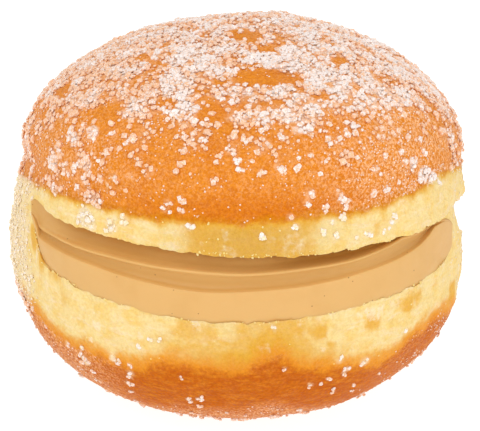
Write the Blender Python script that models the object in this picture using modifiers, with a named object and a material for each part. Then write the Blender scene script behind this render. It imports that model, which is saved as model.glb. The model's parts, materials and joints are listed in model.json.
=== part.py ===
"""A berliner doughnut, slit from the front, filled with caramel cream and coated with coarse sugar.

Metres, +Z up. The open side faces -Y. The origin is the centre of the flat spot the bun rests on.
"""
import math
import random

import bmesh
import bpy
from mathutils import Euler, Matrix, Vector, noise

MM = 0.001
OBJECT_NAME = "berliner_doughnut"

# The closed bun before it is opened: a bowl below, a pale ring round the middle, and a dome above
BASE_RADIUS = 45.1 * MM
LID_RADIUS = 43.4 * MM
EQUATOR_HEIGHT = 29.8 * MM
BOWL_DROP = 31.9 * MM
BOWL_POWER = 2.45
SHOULDER_HEIGHT = EQUATOR_HEIGHT + 10.9 * MM
DOME_HEIGHT = 26.5 * MM
DOME_POWER = 2.15
DEPTH_SHARE = 0.975
BASE_SHIFT = -0.3 * MM
LID_SHIFT = 0.5 * MM

# Where each stretch of the turned profile ends, as shares of its points
DOME_END = 0.44
RING_END = 0.62
BOWL_END = 0.96

# How far the cream has raised the lid: at the front, the sides, the back and the top
FRONT_RISE = 11.4 * MM
LEFT_RISE = 7.0 * MM
RIGHT_RISE = 6.0 * MM
TOP_RISE = 6.5 * MM
RISE_EVEN_TO = 50.0
RISE_AT_SIDE = 105.0
RISE_FALLS_FROM = 75.0
RISE_STARTS = EQUATOR_HEIGHT - 2.5 * MM
RISE_FULL = EQUATOR_HEIGHT + 3.0 * MM

# The soft unevenness of the crust, the ring that swells out on the left, and the fold on the right
DENT_DEPTH = 0.55 * MM
DENT_SIZE = 17.0 * MM
RIPPLE_DEPTH = 0.22 * MM
RIPPLE_SIZE = 5.0 * MM
EVEN_BELOW = 8.0 * MM
TOP_DENTS_FROM = 50.0 * MM
TOP_DENTS_FULL = 62.0 * MM
LEAST_SWELL_RADIUS = 10.0 * MM
LEFT_RING_BULGE = 0.9 * MM
RING_BULGE_SPREAD = 6.0 * MM
LEFT_RIM_TUCK = 0.9 * MM
RIM_TUCK = 0.2 * MM
TUCK_SPREAD = 2.5 * MM
FOLD_DEPTH = 2.6 * MM
FOLD_AZIMUTH = 90.0
FOLD_HEIGHT = EQUATOR_HEIGHT + 1.3 * MM
FOLD_TURN_SPREAD = 16.0
FOLD_SPREAD = 2.0 * MM

# The slit: its ends in degrees from the front, the pocket's back edge, and the two cut lips
LEFT_END = -62.5
RIGHT_END = 67.5
END_SHARE = 0.5
END_BLUNTNESS = 18
POCKET_BACK = 5.5 * MM
POCKET_SIDE = -2.0 * MM
POCKET_NARROWS = 0.7
CREASE_SHARE = 0.16
FRONT_LOWER_LIP = EQUATOR_HEIGHT + 0.7 * MM
LEFT_LOWER_LIP_RISE = 4.0 * MM
RIGHT_LOWER_LIP_RISE = 2.2 * MM
FRONT_UPPER_LIP = EQUATOR_HEIGHT + 13.5 * MM
LEFT_UPPER_LIP_RISE = 0.8 * MM
LEFT_LIP_RISEN_AT = 40.0
RIGHT_UPPER_LIP_FALL = 2.2 * MM
LIP_SPAN = 60.0
CRUMB_DEPTH = 0.55 * MM
CRUMB_SIZE = 2.4 * MM
CRUMB_BIAS = 0.35
CRUMB_REACH = 0.04
OUTSIDE_RIM = -0.13

# The cream: its gaps to the bread, and the two lines that part its three bands
GAP = 0.3 * MM
END_GAP_GROWS = 1.4
BACK_GAP = 1.2 * MM
CREAM_REACH = 0.989
LOWER_LINE = FRONT_LOWER_LIP + 6.4 * MM
LOWER_LINE_RISE = 2.3 * MM
LOWER_LINE_LOWEST = -3.0
UPPER_LINE = FRONT_LOWER_LIP + 9.7 * MM
UPPER_LINE_RISE = 1.0 * MM
LINE_SPAN = 50.0
LINE_EDGE = 0.025
FLUSH = 0.3 * MM
TOP_INSET = 7.7 * MM

# The coarse sugar that shows from a step away, and where it has drifted together on the lid
SUGAR_SEED = 11
SUGAR_COUNT = 205
SUGAR_TRIES = 40000
LARGEST_GRAIN = 0.85 * MM
SMALLEST_GRAIN = 0.55 * MM
GRAIN_SUNK = 0.32
GRAIN_SPACING = 2.3
LID_SUGAR_FROM = EQUATOR_HEIGHT + 20.0 * MM
RING_SUGAR_FROM = EQUATOR_HEIGHT - 7.0 * MM
THIN_FROM = 18.0 * MM
THIN_FULL = 36.0 * MM
CLUMP_SIZE = 7.0 * MM
DRIFT_TURN_SPREAD = 9.0
DRIFT_SPREAD = 4.0 * MM
SUGAR_DRIFTS = (
    (-62.0, 57.0 * MM),
    (-42.0, 54.0 * MM),
    (50.0, 58.0 * MM),
    (-22.0, 68.0 * MM),
    (30.0, 70.0 * MM),
)
STRAY_SHARE = 0.12
LEFT_END_SHARE = 0.62
FLOOR_CLEARANCE = 2.5 * MM
MOUTH_CLEARANCE = 1.3 * MM
MOUTH_CLEAR_TURN = 3.0

# How finely the solids are cut into faces
PROFILE_POINTS = 25
TURN_STEPS = 60
MOUTH_STATIONS = 64
MERGE = 0.00001


def smooth_step(value, low, high):
    """0 below low, 1 above high, and an even curve between."""
    share = min(1.0, max(0.0, (value - low) / (high - low)))
    return share * share * (3.0 - 2.0 * share)


def hump(offset, spread):
    """1 at no offset, falling to nothing a few spreads away."""
    return math.exp(-((offset / spread) ** 2))


def left_side(psi):
    """1 round the bun's left side, 0 in front and behind."""
    return smooth_step(-psi, 55.0, 80.0) * (1.0 - smooth_step(-psi, 110.0, 150.0))


def profile_point(share):
    """Radius and height of the closed bun: share 0 is the top, 1 the centre of the rest face."""
    if share < DOME_END:
        angle = math.radians(90.0 * share / DOME_END)
        radius = LID_RADIUS * math.sin(angle) ** (2.0 / DOME_POWER)
        return radius, SHOULDER_HEIGHT + DOME_HEIGHT * math.cos(angle) ** (2.0 / DOME_POWER)
    if share < RING_END:
        step = (share - DOME_END) / (RING_END - DOME_END)
        radius = LID_RADIUS + (BASE_RADIUS - LID_RADIUS) * step
        return radius, SHOULDER_HEIGHT + (EQUATOR_HEIGHT - SHOULDER_HEIGHT) * step
    if share < BOWL_END:
        last = math.asin((EQUATOR_HEIGHT / BOWL_DROP) ** (BOWL_POWER / 2.0))
        angle = last * (share - RING_END) / (BOWL_END - RING_END)
        radius = BASE_RADIUS * math.cos(angle) ** (2.0 / BOWL_POWER)
        return radius, EQUATOR_HEIGHT - BOWL_DROP * math.sin(angle) ** (2.0 / BOWL_POWER)
    flat_share = 1.0 - (EQUATOR_HEIGHT / BOWL_DROP) ** BOWL_POWER
    flat_radius = BASE_RADIUS * flat_share ** (1.0 / BOWL_POWER)
    return flat_radius * (1.0 - share) / (1.0 - BOWL_END), 0.0


def lid_rise(psi):
    """How far the lid's rim is raised at an azimuth: most over the mouth, nothing at the back."""
    turn = abs(psi)
    to_right = 0.5 + 0.5 * math.sin(math.radians(psi))
    side = LEFT_RISE + (RIGHT_RISE - LEFT_RISE) * to_right
    front = FRONT_RISE + (side - FRONT_RISE) * smooth_step(turn, RISE_EVEN_TO, RISE_AT_SIDE)
    return front * (1.0 - smooth_step(turn, RISE_FALLS_FROM, 180.0))


def skin_swell(point, psi):
    """How far the skin stands out from the even form: dents, ripples, the left ring and the right fold."""
    swell = DENT_DEPTH * noise.noise(point / DENT_SIZE)
    swell += RIPPLE_DEPTH * noise.noise(point / RIPPLE_SIZE)
    left = left_side(psi)
    swell += left * LEFT_RING_BULGE * hump(point.z - EQUATOR_HEIGHT, RING_BULGE_SPREAD)
    tuck = RIM_TUCK + left * (LEFT_RIM_TUCK - RIM_TUCK)
    swell -= tuck * hump(point.z - SHOULDER_HEIGHT, TUCK_SPREAD)
    fold = hump(psi - FOLD_AZIMUTH, FOLD_TURN_SPREAD) * hump(point.z - FOLD_HEIGHT, FOLD_SPREAD)
    return swell - FOLD_DEPTH * fold


def opened(point):
    """Moves a point of the closed, evenly turned bun to where it is on the opened, uneven one."""
    psi = math.degrees(math.atan2(point.x, -point.y))
    radius = math.hypot(point.x, point.y)
    raised = smooth_step(point.z, RISE_STARTS, RISE_FULL)
    outwards = min(1.0, (radius / LID_RADIUS) ** 2)
    rise = TOP_RISE + (lid_rise(psi) - TOP_RISE) * outwards

    swell = skin_swell(point, psi)
    off_floor = smooth_step(point.z, 0.0, EVEN_BELOW)
    grown = 1.0 + off_floor * swell / max(radius, LEAST_SWELL_RADIUS)
    upwards = swell * smooth_step(point.z, TOP_DENTS_FROM, TOP_DENTS_FULL)
    shift = BASE_SHIFT + raised * (LID_SHIFT - BASE_SHIFT)
    across = point.x * grown + shift * off_floor
    return Vector((across, point.y * grown * DEPTH_SHARE, point.z + raised * rise + upwards))


def skin_point(psi, share):
    """A point of the opened bun's skin, by azimuth and by place on the turned profile."""
    radius, height = profile_point(share)
    turn = math.radians(psi)
    return opened(Vector((radius * math.sin(turn), -radius * math.cos(turn), height)))


def lower_lip(psi):
    """Height of the base's cut edge."""
    rise = LEFT_LOWER_LIP_RISE if psi < 0.0 else RIGHT_LOWER_LIP_RISE
    return FRONT_LOWER_LIP + rise * (psi / LIP_SPAN) ** 2


def upper_lip(psi):
    """Height of the lid's cut edge."""
    if psi < 0.0:
        return FRONT_UPPER_LIP + LEFT_UPPER_LIP_RISE * smooth_step(-psi, 0.0, LEFT_LIP_RISEN_AT)
    return FRONT_UPPER_LIP - RIGHT_UPPER_LIP_FALL * (psi / LIP_SPAN) ** 2


def mouth_azimuth(place):
    """Azimuth at a place along the mouth: -1 is its left end and 1 its right end."""
    return LEFT_END + (RIGHT_END - LEFT_END) * (place + 1.0) / 2.0


def pocket_plan(place, depth):
    """Plan point of the slit: depth 0 is the bun's rim and 1 the back of the pocket."""
    turn = math.radians(mouth_azimuth(place))
    rim = Vector((BASE_RADIUS * math.sin(turn), -BASE_RADIUS * DEPTH_SHARE * math.cos(turn)))
    back_y = POCKET_SIDE + (POCKET_BACK - POCKET_SIDE) * (1.0 - place * place)
    back = Vector((rim.x * POCKET_NARROWS, back_y))
    return rim + (back - rim) * depth


def slit_heights(place, depth):
    """Heights of the base's and the lid's cut faces, which close towards the crease at the back."""
    psi = mouth_azimuth(place)
    low, high = lower_lip(psi), upper_lip(psi)
    rounded = END_SHARE + (1.0 - END_SHARE) * (1.0 - abs(place) ** END_BLUNTNESS)
    middle = (low + high) / 2.0
    low = middle - (middle - low) * rounded
    high = middle + (high - middle) * rounded
    wedge = 1.0 - (1.0 - CREASE_SHARE) * max(0.0, depth)
    return low, low + (high - low) * wedge


def notch_depth(psi, side):
    """Depth of the notches that torn crumb leaves along a lip: side is -1 for the base, 1 for the lid."""
    turn = math.radians(psi)
    along = Vector((math.sin(turn), -math.cos(turn), side)) * (BASE_RADIUS / CRUMB_SIZE)
    return CRUMB_DEPTH * max(0.0, CRUMB_BIAS + noise.noise(along))


def slit_section(place):
    """The slit's outline at one place along the mouth, from the crease out past the rim and back."""
    psi = mouth_azimuth(place)
    inward = (1.0, CRUMB_REACH, 0.0, OUTSIDE_RIM)
    outline = []
    for side, depths in ((-1, inward), (1, tuple(reversed(inward)))):
        for depth in depths:
            base_face, lid_face = slit_heights(place, depth)
            height = base_face if side < 0 else lid_face
            if depth <= 0.0:
                height += side * notch_depth(psi, side)
            plan = pocket_plan(place, depth)
            outline.append(Vector((plan.x, plan.y, height)))
    return outline


def band_rows(place):
    """The cream's front from bottom to top: pairs of height share and how far it sits in, in metres."""
    psi = mouth_azimuth(place)
    base_face, lid_face = slit_heights(place, 0.0)
    low = base_face + GAP
    span = lid_face - GAP - low
    lower = LOWER_LINE + LOWER_LINE_RISE * (abs(psi - LOWER_LINE_LOWEST) / LINE_SPAN) ** 1.3
    upper = UPPER_LINE + UPPER_LINE_RISE * smooth_step(psi, 5.0, 45.0)
    first = min(0.6, max(0.3, (lower - low) / span))
    second = min(0.85, max(first + 0.15, (upper - low) / span))
    return (
        (0.0, 0.6 * MM),
        (0.25 * first, 0.15 * MM),
        (0.6 * first, 0.1 * MM),
        (first - LINE_EDGE, 0.4 * MM),
        (first, 0.9 * MM),
        (first + LINE_EDGE, 1.7 * MM),
        ((first + second) / 2.0, 1.9 * MM),
        (second - LINE_EDGE, 2.1 * MM),
        (second, 2.5 * MM),
        (second + LINE_EDGE, 4.6 * MM),
        ((second + 1.0) / 2.0, 6.2 * MM),
        (1.0, TOP_INSET),
    )


def cream_point(place, depth, share):
    """A point of the cream: share 0 is its underside and 1 its top, both a small gap off the bread."""
    base_face, lid_face = slit_heights(place, depth)
    plan = pocket_plan(place, depth)
    gap = GAP * (1.0 + END_GAP_GROWS * abs(place) ** 8)
    low = base_face + gap
    return Vector((plan.x, plan.y, low + share * (lid_face - gap - low)))


def cream_section(place):
    """The cream's outline at one place: three stepped bands in front, then its top and bottom."""
    length = (pocket_plan(place, 1.0) - pocket_plan(place, 0.0)).length
    stepped = 1.0 - abs(place) ** 8
    outline = []
    for share, inset in band_rows(place):
        depth = (FLUSH + (inset - FLUSH) * stepped) / length
        outline.append(cream_point(place, depth, share))
    back = 1.0 - BACK_GAP / length
    outline.append(cream_point(place, back, 1.0))
    outline.append(cream_point(place, back, 0.0))
    return outline


def food_material(name, colour, roughness):
    """A plain food finish."""
    made = bpy.data.materials.new(name)
    made.use_nodes = True
    shader = made.node_tree.nodes["Principled BSDF"]
    shader.inputs["Base Color"].default_value = (*colour, 1.0)
    shader.inputs["Roughness"].default_value = roughness
    shader.inputs["Metallic"].default_value = 0.0
    return made


def new_collection(name):
    """A new collection under the scene's own."""
    made = bpy.data.collections.new(name)
    bpy.context.scene.collection.children.link(made)
    return made


def with_modifiers_applied(source, name, home):
    """A new object with the source's evaluated mesh, in place of the source."""
    graph = bpy.context.evaluated_depsgraph_get()
    mesh = bpy.data.meshes.new_from_object(source.evaluated_get(graph))
    bpy.data.objects.remove(source)
    mesh.name = name
    made = bpy.data.objects.new(name, mesh)
    home.objects.link(made)
    return made


def turned_bun(home):
    """The bun's outer form: a turned profile, then each point moved to the opened, uneven shape."""
    mesh = bpy.data.meshes.new("bun_profile")
    outline = [profile_point(step / PROFILE_POINTS) for step in range(PROFILE_POINTS + 1)]
    edges = [(step, step + 1) for step in range(PROFILE_POINTS)]
    mesh.from_pydata([(radius, 0.0, height) for radius, height in outline], edges, [])
    profile = bpy.data.objects.new("bun_profile", mesh)
    home.objects.link(profile)
    screw = profile.modifiers.new("turn", "SCREW")
    screw.steps = TURN_STEPS
    screw.render_steps = TURN_STEPS
    screw.use_merge_vertices = True
    screw.merge_threshold = MERGE
    bun = with_modifiers_applied(profile, "bun", home)
    for vert in bun.data.vertices:
        vert.co = opened(vert.co)
    return bun


def lofted(name, sections, home):
    """A closed solid through a row of like outlines, made by extruding the first one along them."""
    form = bmesh.new()
    cap = form.faces.new([form.verts.new(place) for place in sections[0]])
    for number, section in enumerate(sections[1:]):
        made = bmesh.ops.extrude_face_region(form, geom=[cap])["geom"]
        if number:
            bmesh.ops.delete(form, geom=[cap], context="FACES_ONLY")
        cap = next(item for item in made if isinstance(item, bmesh.types.BMFace))
        for vert, place in zip(cap.verts, section):
            vert.co = place
    bmesh.ops.recalc_face_normals(form, faces=form.faces)
    mesh = bpy.data.meshes.new(name)
    form.to_mesh(mesh)
    form.free()
    made = bpy.data.objects.new(name, mesh)
    home.objects.link(made)
    return made


def cut_by(target, cutter, home):
    """The target with the cutter's shape taken away."""
    change = target.modifiers.new("slit", "BOOLEAN")
    change.operation = "DIFFERENCE"
    change.solver = "EXACT"
    change.use_self = True
    change.object = cutter
    return with_modifiers_applied(target, "bun", home)


def joined_with(target, group, home):
    """The target and a collection of small pieces as one body. EXACT leaves open edges here."""
    change = target.modifiers.new("sugar", "BOOLEAN")
    change.operation = "UNION"
    change.solver = "MANIFOLD"
    change.operand_type = "COLLECTION"
    change.collection = group
    return with_modifiers_applied(target, "bun", home)


def sugar_share(psi, point):
    """How likely a coarse grain is at a point of the skin: the lid's top is the most thickly coated."""
    if point.z > LID_SUGAR_FROM:
        clump = smooth_step(noise.noise(point / CLUMP_SIZE), -0.35, 0.25)
        spread = (1.0 - 0.9 * smooth_step(-point.y, THIN_FROM, THIN_FULL)) * (0.35 + 0.65 * clump)
        drifts = [hump(psi - turn, DRIFT_TURN_SPREAD) * hump(point.z - height, DRIFT_SPREAD)
                  for turn, height in SUGAR_DRIFTS]
        return max(spread, *drifts)
    if point.z > RING_SUGAR_FROM:
        return STRAY_SHARE + (LEFT_END_SHARE - STRAY_SHARE) * left_side(psi)
    return STRAY_SHARE


def near_mouth(psi, point):
    """Whether a grain at this point would reach over the slit."""
    if not LEFT_END - MOUTH_CLEAR_TURN < psi < RIGHT_END + MOUTH_CLEAR_TURN:
        return False
    within = max(LEFT_END, min(RIGHT_END, psi))
    return lower_lip(within) - MOUTH_CLEARANCE < point.z < upper_lip(within) + MOUTH_CLEARANCE


def sugar_places(bun):
    """Seeded places, outward directions and sizes of the coarse grains, the largest first."""
    draw = random.Random(SUGAR_SEED)
    places = []
    for _ in range(SUGAR_TRIES):
        psi = draw.uniform(-180.0, 180.0)
        share = draw.uniform(0.0, BOWL_END)
        luck = draw.random()
        if len(places) == SUGAR_COUNT:
            break
        point = skin_point(psi, share)
        if point.z < FLOOR_CLEARANCE or near_mouth(psi, point):
            continue
        evened = math.hypot(point.x, point.y) / BASE_RADIUS
        if luck > sugar_share(psi, point) * evened:
            continue
        done = len(places) / SUGAR_COUNT
        size = LARGEST_GRAIN + (SMALLEST_GRAIN - LARGEST_GRAIN) * done
        _, place, outwards, _ = bun.closest_point_on_mesh(point)
        if all((place - other).length > GRAIN_SPACING * size for other, _, _ in places):
            places.append((place, outwards, size))
    return places


def sugar_grain(index, place, outwards, size, home):
    """One blocky crystal, partly sunk in the crust."""
    draw = random.Random(SUGAR_SEED * 1000 + index)
    form = bmesh.new()
    bmesh.ops.create_icosphere(form, subdivisions=1, radius=size)
    for vert in form.verts:
        vert.co *= draw.uniform(0.86, 1.12)
    flattened = Matrix.Diagonal((1.0, draw.uniform(0.78, 1.0), draw.uniform(0.72, 0.95), 1.0))
    turned = Euler([draw.uniform(0.0, math.tau) for _ in range(3)]).to_matrix().to_4x4()
    bmesh.ops.transform(form, matrix=turned @ flattened, verts=form.verts)
    bmesh.ops.translate(form, vec=place + outwards * size * (1.0 - 2.0 * GRAIN_SUNK), verts=form.verts)
    mesh = bpy.data.meshes.new(f"sugar_{index:03d}")
    form.to_mesh(mesh)
    form.free()
    home.objects.link(bpy.data.objects.new(mesh.name, mesh))


def finished(target, finish, sharpest):
    """Gives a piece its material and smooth shading, with creases left sharp."""
    target.data.materials.clear()
    target.data.materials.append(finish)
    target.data.shade_smooth()
    target.data.set_sharp_from_angle(angle=math.radians(sharpest))


def build():
    """Clears the scene and makes the bun and its cream."""
    for old in list(bpy.data.objects):
        bpy.data.objects.remove(old)
    parts = new_collection(OBJECT_NAME)
    cutters = new_collection("cutters")
    sugar = new_collection("sugar")

    stations = [CREAM_REACH * (2.0 * step / MOUTH_STATIONS - 1.0) for step in range(MOUTH_STATIONS + 1)]
    slit = lofted("slit", [slit_section(place) for place in (-1.0, *stations, 1.0)], cutters)
    slit.hide_render = True
    slit.display_type = "WIRE"

    bun = cut_by(turned_bun(parts), slit, parts)
    for index, (place, outwards, size) in enumerate(sugar_places(bun)):
        sugar_grain(index, place, outwards, size, sugar)
    bun = joined_with(bun, sugar, parts)
    for grain in list(sugar.objects):
        bpy.data.objects.remove(grain)
    bpy.data.collections.remove(sugar)
    finished(bun, food_material("sugared_crust", (0.80, 0.42, 0.12), 0.55), 35.0)

    cream = lofted("cream", [cream_section(place) for place in stations], parts)
    finished(cream, food_material("caramel_cream", (0.72, 0.46, 0.22), 0.4), 50.0)


build()
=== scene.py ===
"""A berliner doughnut, slit from the front and filled with caramel cream, under its coat of sugar.

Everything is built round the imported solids: metres, +Z up, the open side towards -Y.
Azimuths are degrees round the bun from its open front, positive to the right.
"""
import bisect
import json
import math
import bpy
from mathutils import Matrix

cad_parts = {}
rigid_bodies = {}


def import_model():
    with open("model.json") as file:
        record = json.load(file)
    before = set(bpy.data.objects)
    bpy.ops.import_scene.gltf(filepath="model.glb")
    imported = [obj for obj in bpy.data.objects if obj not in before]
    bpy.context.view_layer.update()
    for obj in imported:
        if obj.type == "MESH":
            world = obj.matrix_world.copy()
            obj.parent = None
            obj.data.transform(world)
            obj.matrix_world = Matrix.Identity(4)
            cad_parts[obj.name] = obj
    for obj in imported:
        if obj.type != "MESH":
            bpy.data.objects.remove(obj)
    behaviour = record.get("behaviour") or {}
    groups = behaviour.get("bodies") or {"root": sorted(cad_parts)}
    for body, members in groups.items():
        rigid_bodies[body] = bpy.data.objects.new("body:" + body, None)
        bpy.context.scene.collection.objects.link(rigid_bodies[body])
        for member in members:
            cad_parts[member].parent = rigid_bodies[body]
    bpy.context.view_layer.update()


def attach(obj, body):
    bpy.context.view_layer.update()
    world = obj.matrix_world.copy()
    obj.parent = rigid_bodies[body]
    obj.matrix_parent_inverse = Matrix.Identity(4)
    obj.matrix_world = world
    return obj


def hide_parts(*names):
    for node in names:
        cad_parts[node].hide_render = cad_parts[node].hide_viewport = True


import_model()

from types import SimpleNamespace

import bmesh
import bpy
import numpy as np
from bpy.props import FloatProperty, FloatVectorProperty, IntProperty, PointerProperty
from mathutils import Euler, Vector, noise
from mathutils.bvhtree import BVHTree
from mathutils.kdtree import KDTree

bl_info = {
    "name": "Berliner Doughnut",
    "version": (1, 0, 0),
    "blender": (4, 5, 0),
    "location": "View3D > Sidebar > Berliner",
    "description": "Bun, caramel cream, crumbs and sugar of a filled berliner doughnut",
    "category": "Object",
}

MM = 0.001

# Where each stretch of the turned profile ends, as shares of its points
DOME_END = 0.44
RING_END = 0.62
BOWL_END = 0.96

# The powers of the rounded bowl and dome, and the bun's depth as a share of its width
BOWL_POWER = 2.45
DOME_POWER = 2.15
DEPTH_SHARE = 0.975

# Azimuths to which the raised lid's height is even, and where it falls away to the joined back
RISE_EVEN_TO = 50.0
RISE_AT_SIDE = 105.0
RISE_FALLS_FROM = 75.0

# The fold at the right side: its azimuth, how far it spreads, and its height over the widest part
FOLD_AZIMUTH = 92.0
FOLD_SPREAD = 20.0
FOLD_RISE = 1.2 * MM
FOLD_HALF_WIDTH = 1.4 * MM

# Sizes of the dents, ripples, puckers and pores in the skin, from one to the next
DENT_SIZE = 17.0 * MM
RIPPLE_SIZE = 5.0 * MM
PUCKER_SIZE = 3.4 * MM
PORE_SIZE = 3.9 * MM
FINE_SIZE = 1.5 * MM

# How deep the skin lies under thick sugar, and how far the crystals sit out of it, in their own lengths
SUGAR_BED = 0.25 * MM
CRYSTAL_STAND = 0.13
CRYSTAL_TILT = 0.22

# Where the lid's crust darkens most towards its rim, and how far that spreads
RIM_DARKENING_AZIMUTH = 9.0
RIM_DARKENING_SPREAD = 31.0

# How much painted shade darkens the ring's front above and below the mouth, and the height that parts the two
UPPER_SHADE = 0.16
LOWER_SHADE = 0.06
MOUTH_MIDDLE = 38.0 * MM

# Coarse and medium sugar: places tried, range of sizes as shares of the longest, share and power that make
# the sugar's cover a chance, and a further share on the ring, least distances from floor and mouth, and
# ranges of clearness and of how deep the crystals are sunk
COARSE = SimpleNamespace(tries=54500, sizes=(0.72, 1.15), share=0.86, power=1.1, ring_share=0.25,
                         off_floor=1.0 * MM, off_mouth=0.4 * MM, clear=(-0.3, 0.35), sunk=(-0.1, 0.12))
MEDIUM = SimpleNamespace(tries=63000, sizes=(0.75, 1.2), share=0.92, power=1.0, ring_share=0.5,
                         off_floor=0.8 * MM, off_mouth=0.15 * MM, clear=(-0.15, 0.35), sunk=(-0.3, 0.05))
FINE_TRIES = 94500
CRUMB_TRIES = 42000

# Lone clumps up to this height, in millimetres, have smaller crystals
LOW_CLUMPS_TO = 40.0

# How near the mouth's ends, as places from -1 to 1, the slit and the cream reach
SLIT_REACH = 0.9975
CREAM_REACH = 0.9972

# How far below the sight line the camera's picture is centred
AIM_DROP = 5.1 * MM

# Azimuth and height, in millimetres, of the browned lid's lower edge and of the browned base's upper edge
LID_EDGE = (
    (-180.0, 39.0), (-130.0, 40.5), (-90.0, 43.8), (-74.0, 47.0), (-63.0, 48.5), (-53.0, 49.4),
    (-45.0, 50.0), (-32.0, 49.8), (-19.0, 49.8), (0.0, 50.2), (12.0, 50.1), (18.0, 50.7),
    (25.0, 50.7), (40.0, 50.1), (47.0, 50.6), (54.0, 50.9), (60.0, 51.2), (66.0, 50.8),
    (73.0, 49.8), (90.0, 45.2), (130.0, 41.0), (180.0, 39.0),
)
BASE_EDGE = (
    (-180.0, 20.5), (-140.0, 21.5), (-110.0, 22.0), (-90.0, 23.1), (-73.0, 23.5), (-64.0, 22.0),
    (-57.0, 19.8), (-50.0, 18.6), (-42.0, 18.8), (-30.0, 18.4), (-24.0, 19.2), (-18.0, 20.9),
    (-8.0, 20.4), (1.0, 20.3), (6.0, 22.3), (11.0, 22.4), (16.0, 20.2), (24.0, 19.0),
    (32.0, 17.8), (41.0, 17.2), (47.0, 19.2), (54.0, 20.8), (62.0, 21.8), (75.0, 18.8),
    (90.0, 18.4), (120.0, 20.5), (150.0, 19.5), (180.0, 20.5),
)

# Azimuth, and height over the height in front in millimetres, of the two lips and the cream's two lines
LOWER_LIP = (
    (-66.0, 10.5), (-63.5, 9.6), (-62.0, 8.4), (-60.5, 6.2), (-59.0, 4.6), (-57.0, 3.6), (-52.0, 2.9),
    (-47.0, 2.4), (-40.0, 1.6), (-33.0, 1.3), (-27.5, 0.95),
    (-22.0, 0.6), (-14.5, 0.2), (-7.0, 0.0), (0.0, 0.0), (7.0, 0.1), (14.6, 0.4), (19.6, 0.45),
    (24.8, 0.65), (30.3, 1.0), (36.0, 1.15), (42.3, 1.25), (49.9, 1.5), (57.0, 2.2), (70.0, 3.1),
)
UPPER_LIP = (
    (-66.0, 3.0), (-62.0, 2.9), (-60.0, 2.6), (-58.0, 2.1), (-56.0, 1.7), (-50.0, 1.2), (-33.0, 1.2),
    (-27.5, 1.05), (-22.0, 0.85), (-14.5, 0.65),
    (-7.0, 0.35), (0.0, 0.05), (7.0, 0.05), (14.6, -0.15), (19.6, -0.1), (24.8, -0.3), (30.3, -0.35),
    (36.0, -0.4), (42.3, -0.4), (49.9, -0.9), (57.0, -0.8), (61.0, -0.9), (64.5, -1.4), (70.0, -2.0),
)
LOWER_LINE = (
    (-66.0, 1.9), (-47.0, 1.25), (-39.8, 1.15), (-33.4, 0.8), (-27.5, 0.5), (-22.0, 0.15), (-14.5, -0.3),
    (-7.2, -0.5), (0.0, -0.25), (7.2, 0.0), (14.6, 0.15), (19.6, 0.45), (24.8, 0.65), (30.3, 1.0),
    (36.0, 1.3), (42.3, 1.75), (49.9, 2.6), (54.0, 3.7), (57.0, 4.9), (70.0, 6.8),
)
UPPER_LINE = (
    (-66.0, 0.1), (-54.0, 0.2), (-47.0, 0.15), (-39.8, 0.3), (-33.4, 0.45), (-27.5, 0.4), (-22.0, 0.25),
    (-14.5, 0.15), (-7.0, 0.0), (0.0, -0.15), (7.2, 0.0), (14.6, 0.25), (19.6, 0.35), (24.8, 0.4),
    (30.3, 0.6), (36.0, 1.1), (42.3, 1.9), (46.0, 2.6), (52.0, 3.6), (70.0, 6.9),
)

# Patches with little sugar and with much, in millimetres: place, radius and strength
BARE_PATCHES = (
    (-34.5, -11, 64.5, 2.6, 1), (-27.5, -17, 68, 1.9, 0.8), (-19, -10.5, 72, 1.6, 0.9),
    (-16, -16, 72, 2.5, 0.75), (-7.5, -3, 73.5, 1.5, 0.8), (-0.5, -2.5, 73.5, 3.2, 1),
    (2, -4, 73.5, 3.6, 1), (5.5, -10, 73, 2.4, 0.9), (1.5, -21.5, 71.5, 2.6, 1), (5.5, -21.5, 71.5, 3.2, 1),
    (10, -21.5, 71, 2.4, 0.9), (18, -5, 72.5, 1.5, 0.9), (19.5, -12.5, 71.5, 1.8, 1),
    (29, -13.5, 68.5, 3, 0.6), (34.5, -13.5, 65, 1.6, 0.7), (15, -26, 69.5, 1.8, 0.6),
    (-13.5, -28, 68.5, 1.6, 0.9), (-25.5, -26.5, 65, 3.8, 0.9), (-5, -31, 68, 2.6, 0.85),
    (-37.5, -14, 60.5, 2, 0.7), (21, -30, 66, 4.8, 0.5), (38, -15, 61, 3, 0.7), (-21, -17, 70.5, 1.5, 0.5),
    (-2.5, -24.5, 71, 1.5, 0.6), (-21.5, -20, 69.5, 2.4, 0.6), (-19, -22, 69.5, 2.4, 0.6),
    (-17, -21.5, 70.5, 2, 0.5), (-21, -24.5, 68, 2.2, 0.5), (-20, -28, 67, 2.4, 0.6),
    (-17.5, -27, 68, 2.2, 0.5), (-21, -30.5, 64.5, 2.2, 0.6), (-15.5, -26.5, 69, 2, 0.5),
    (-21.5, -11, 71, 1.8, 0.5), (-2.5, -23, 71.5, 2.2, 0.6), (-3.5, -29, 69, 2.2, 0.6),
    (-1.5, -31, 68, 2.2, 0.6), (2, -29.5, 69, 2.4, 0.6), (4.5, -30, 68.5, 2.2, 0.6), (7, -29, 69, 2.2, 0.6),
    (6, -4.5, 73.5, 2.6, 0.7), (8, -6, 73.5, 2, 0.6), (3.5, -2.5, 73.5, 2.2, 0.7),
    (0, -3.5, 73.5, 2.2, 0.6), (-2.5, -2.5, 73.5, 2, 0.5), (-2.5, -35, 66, 2, 0.5),
    (11, -34.5, 66, 2.2, 0.5),
    (-25.5, -17.5, 69, 2.4, 0.6), (-27, -14, 69, 1.8, 0.5), (-23.5, -20.5, 68.5, 1.8, 0.5),
    (-20.5, -11.5, 71.5, 2, 0.5), (-16.5, -13, 72, 1.6, 0.6), (7, -3, 73.5, 2, 0.6),
    (7, -7, 73.5, 1.6, 0.8), (-2.5, -24, 71, 2, 0.6), (-7, -28, 69.5, 1.8, 0.5),
    (-20.5, -27, 67.5, 1.8, 0.5), (16.5, -29, 68, 2, 0.5), (8, -21.5, 71.5, 2.6, 1),
)
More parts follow.
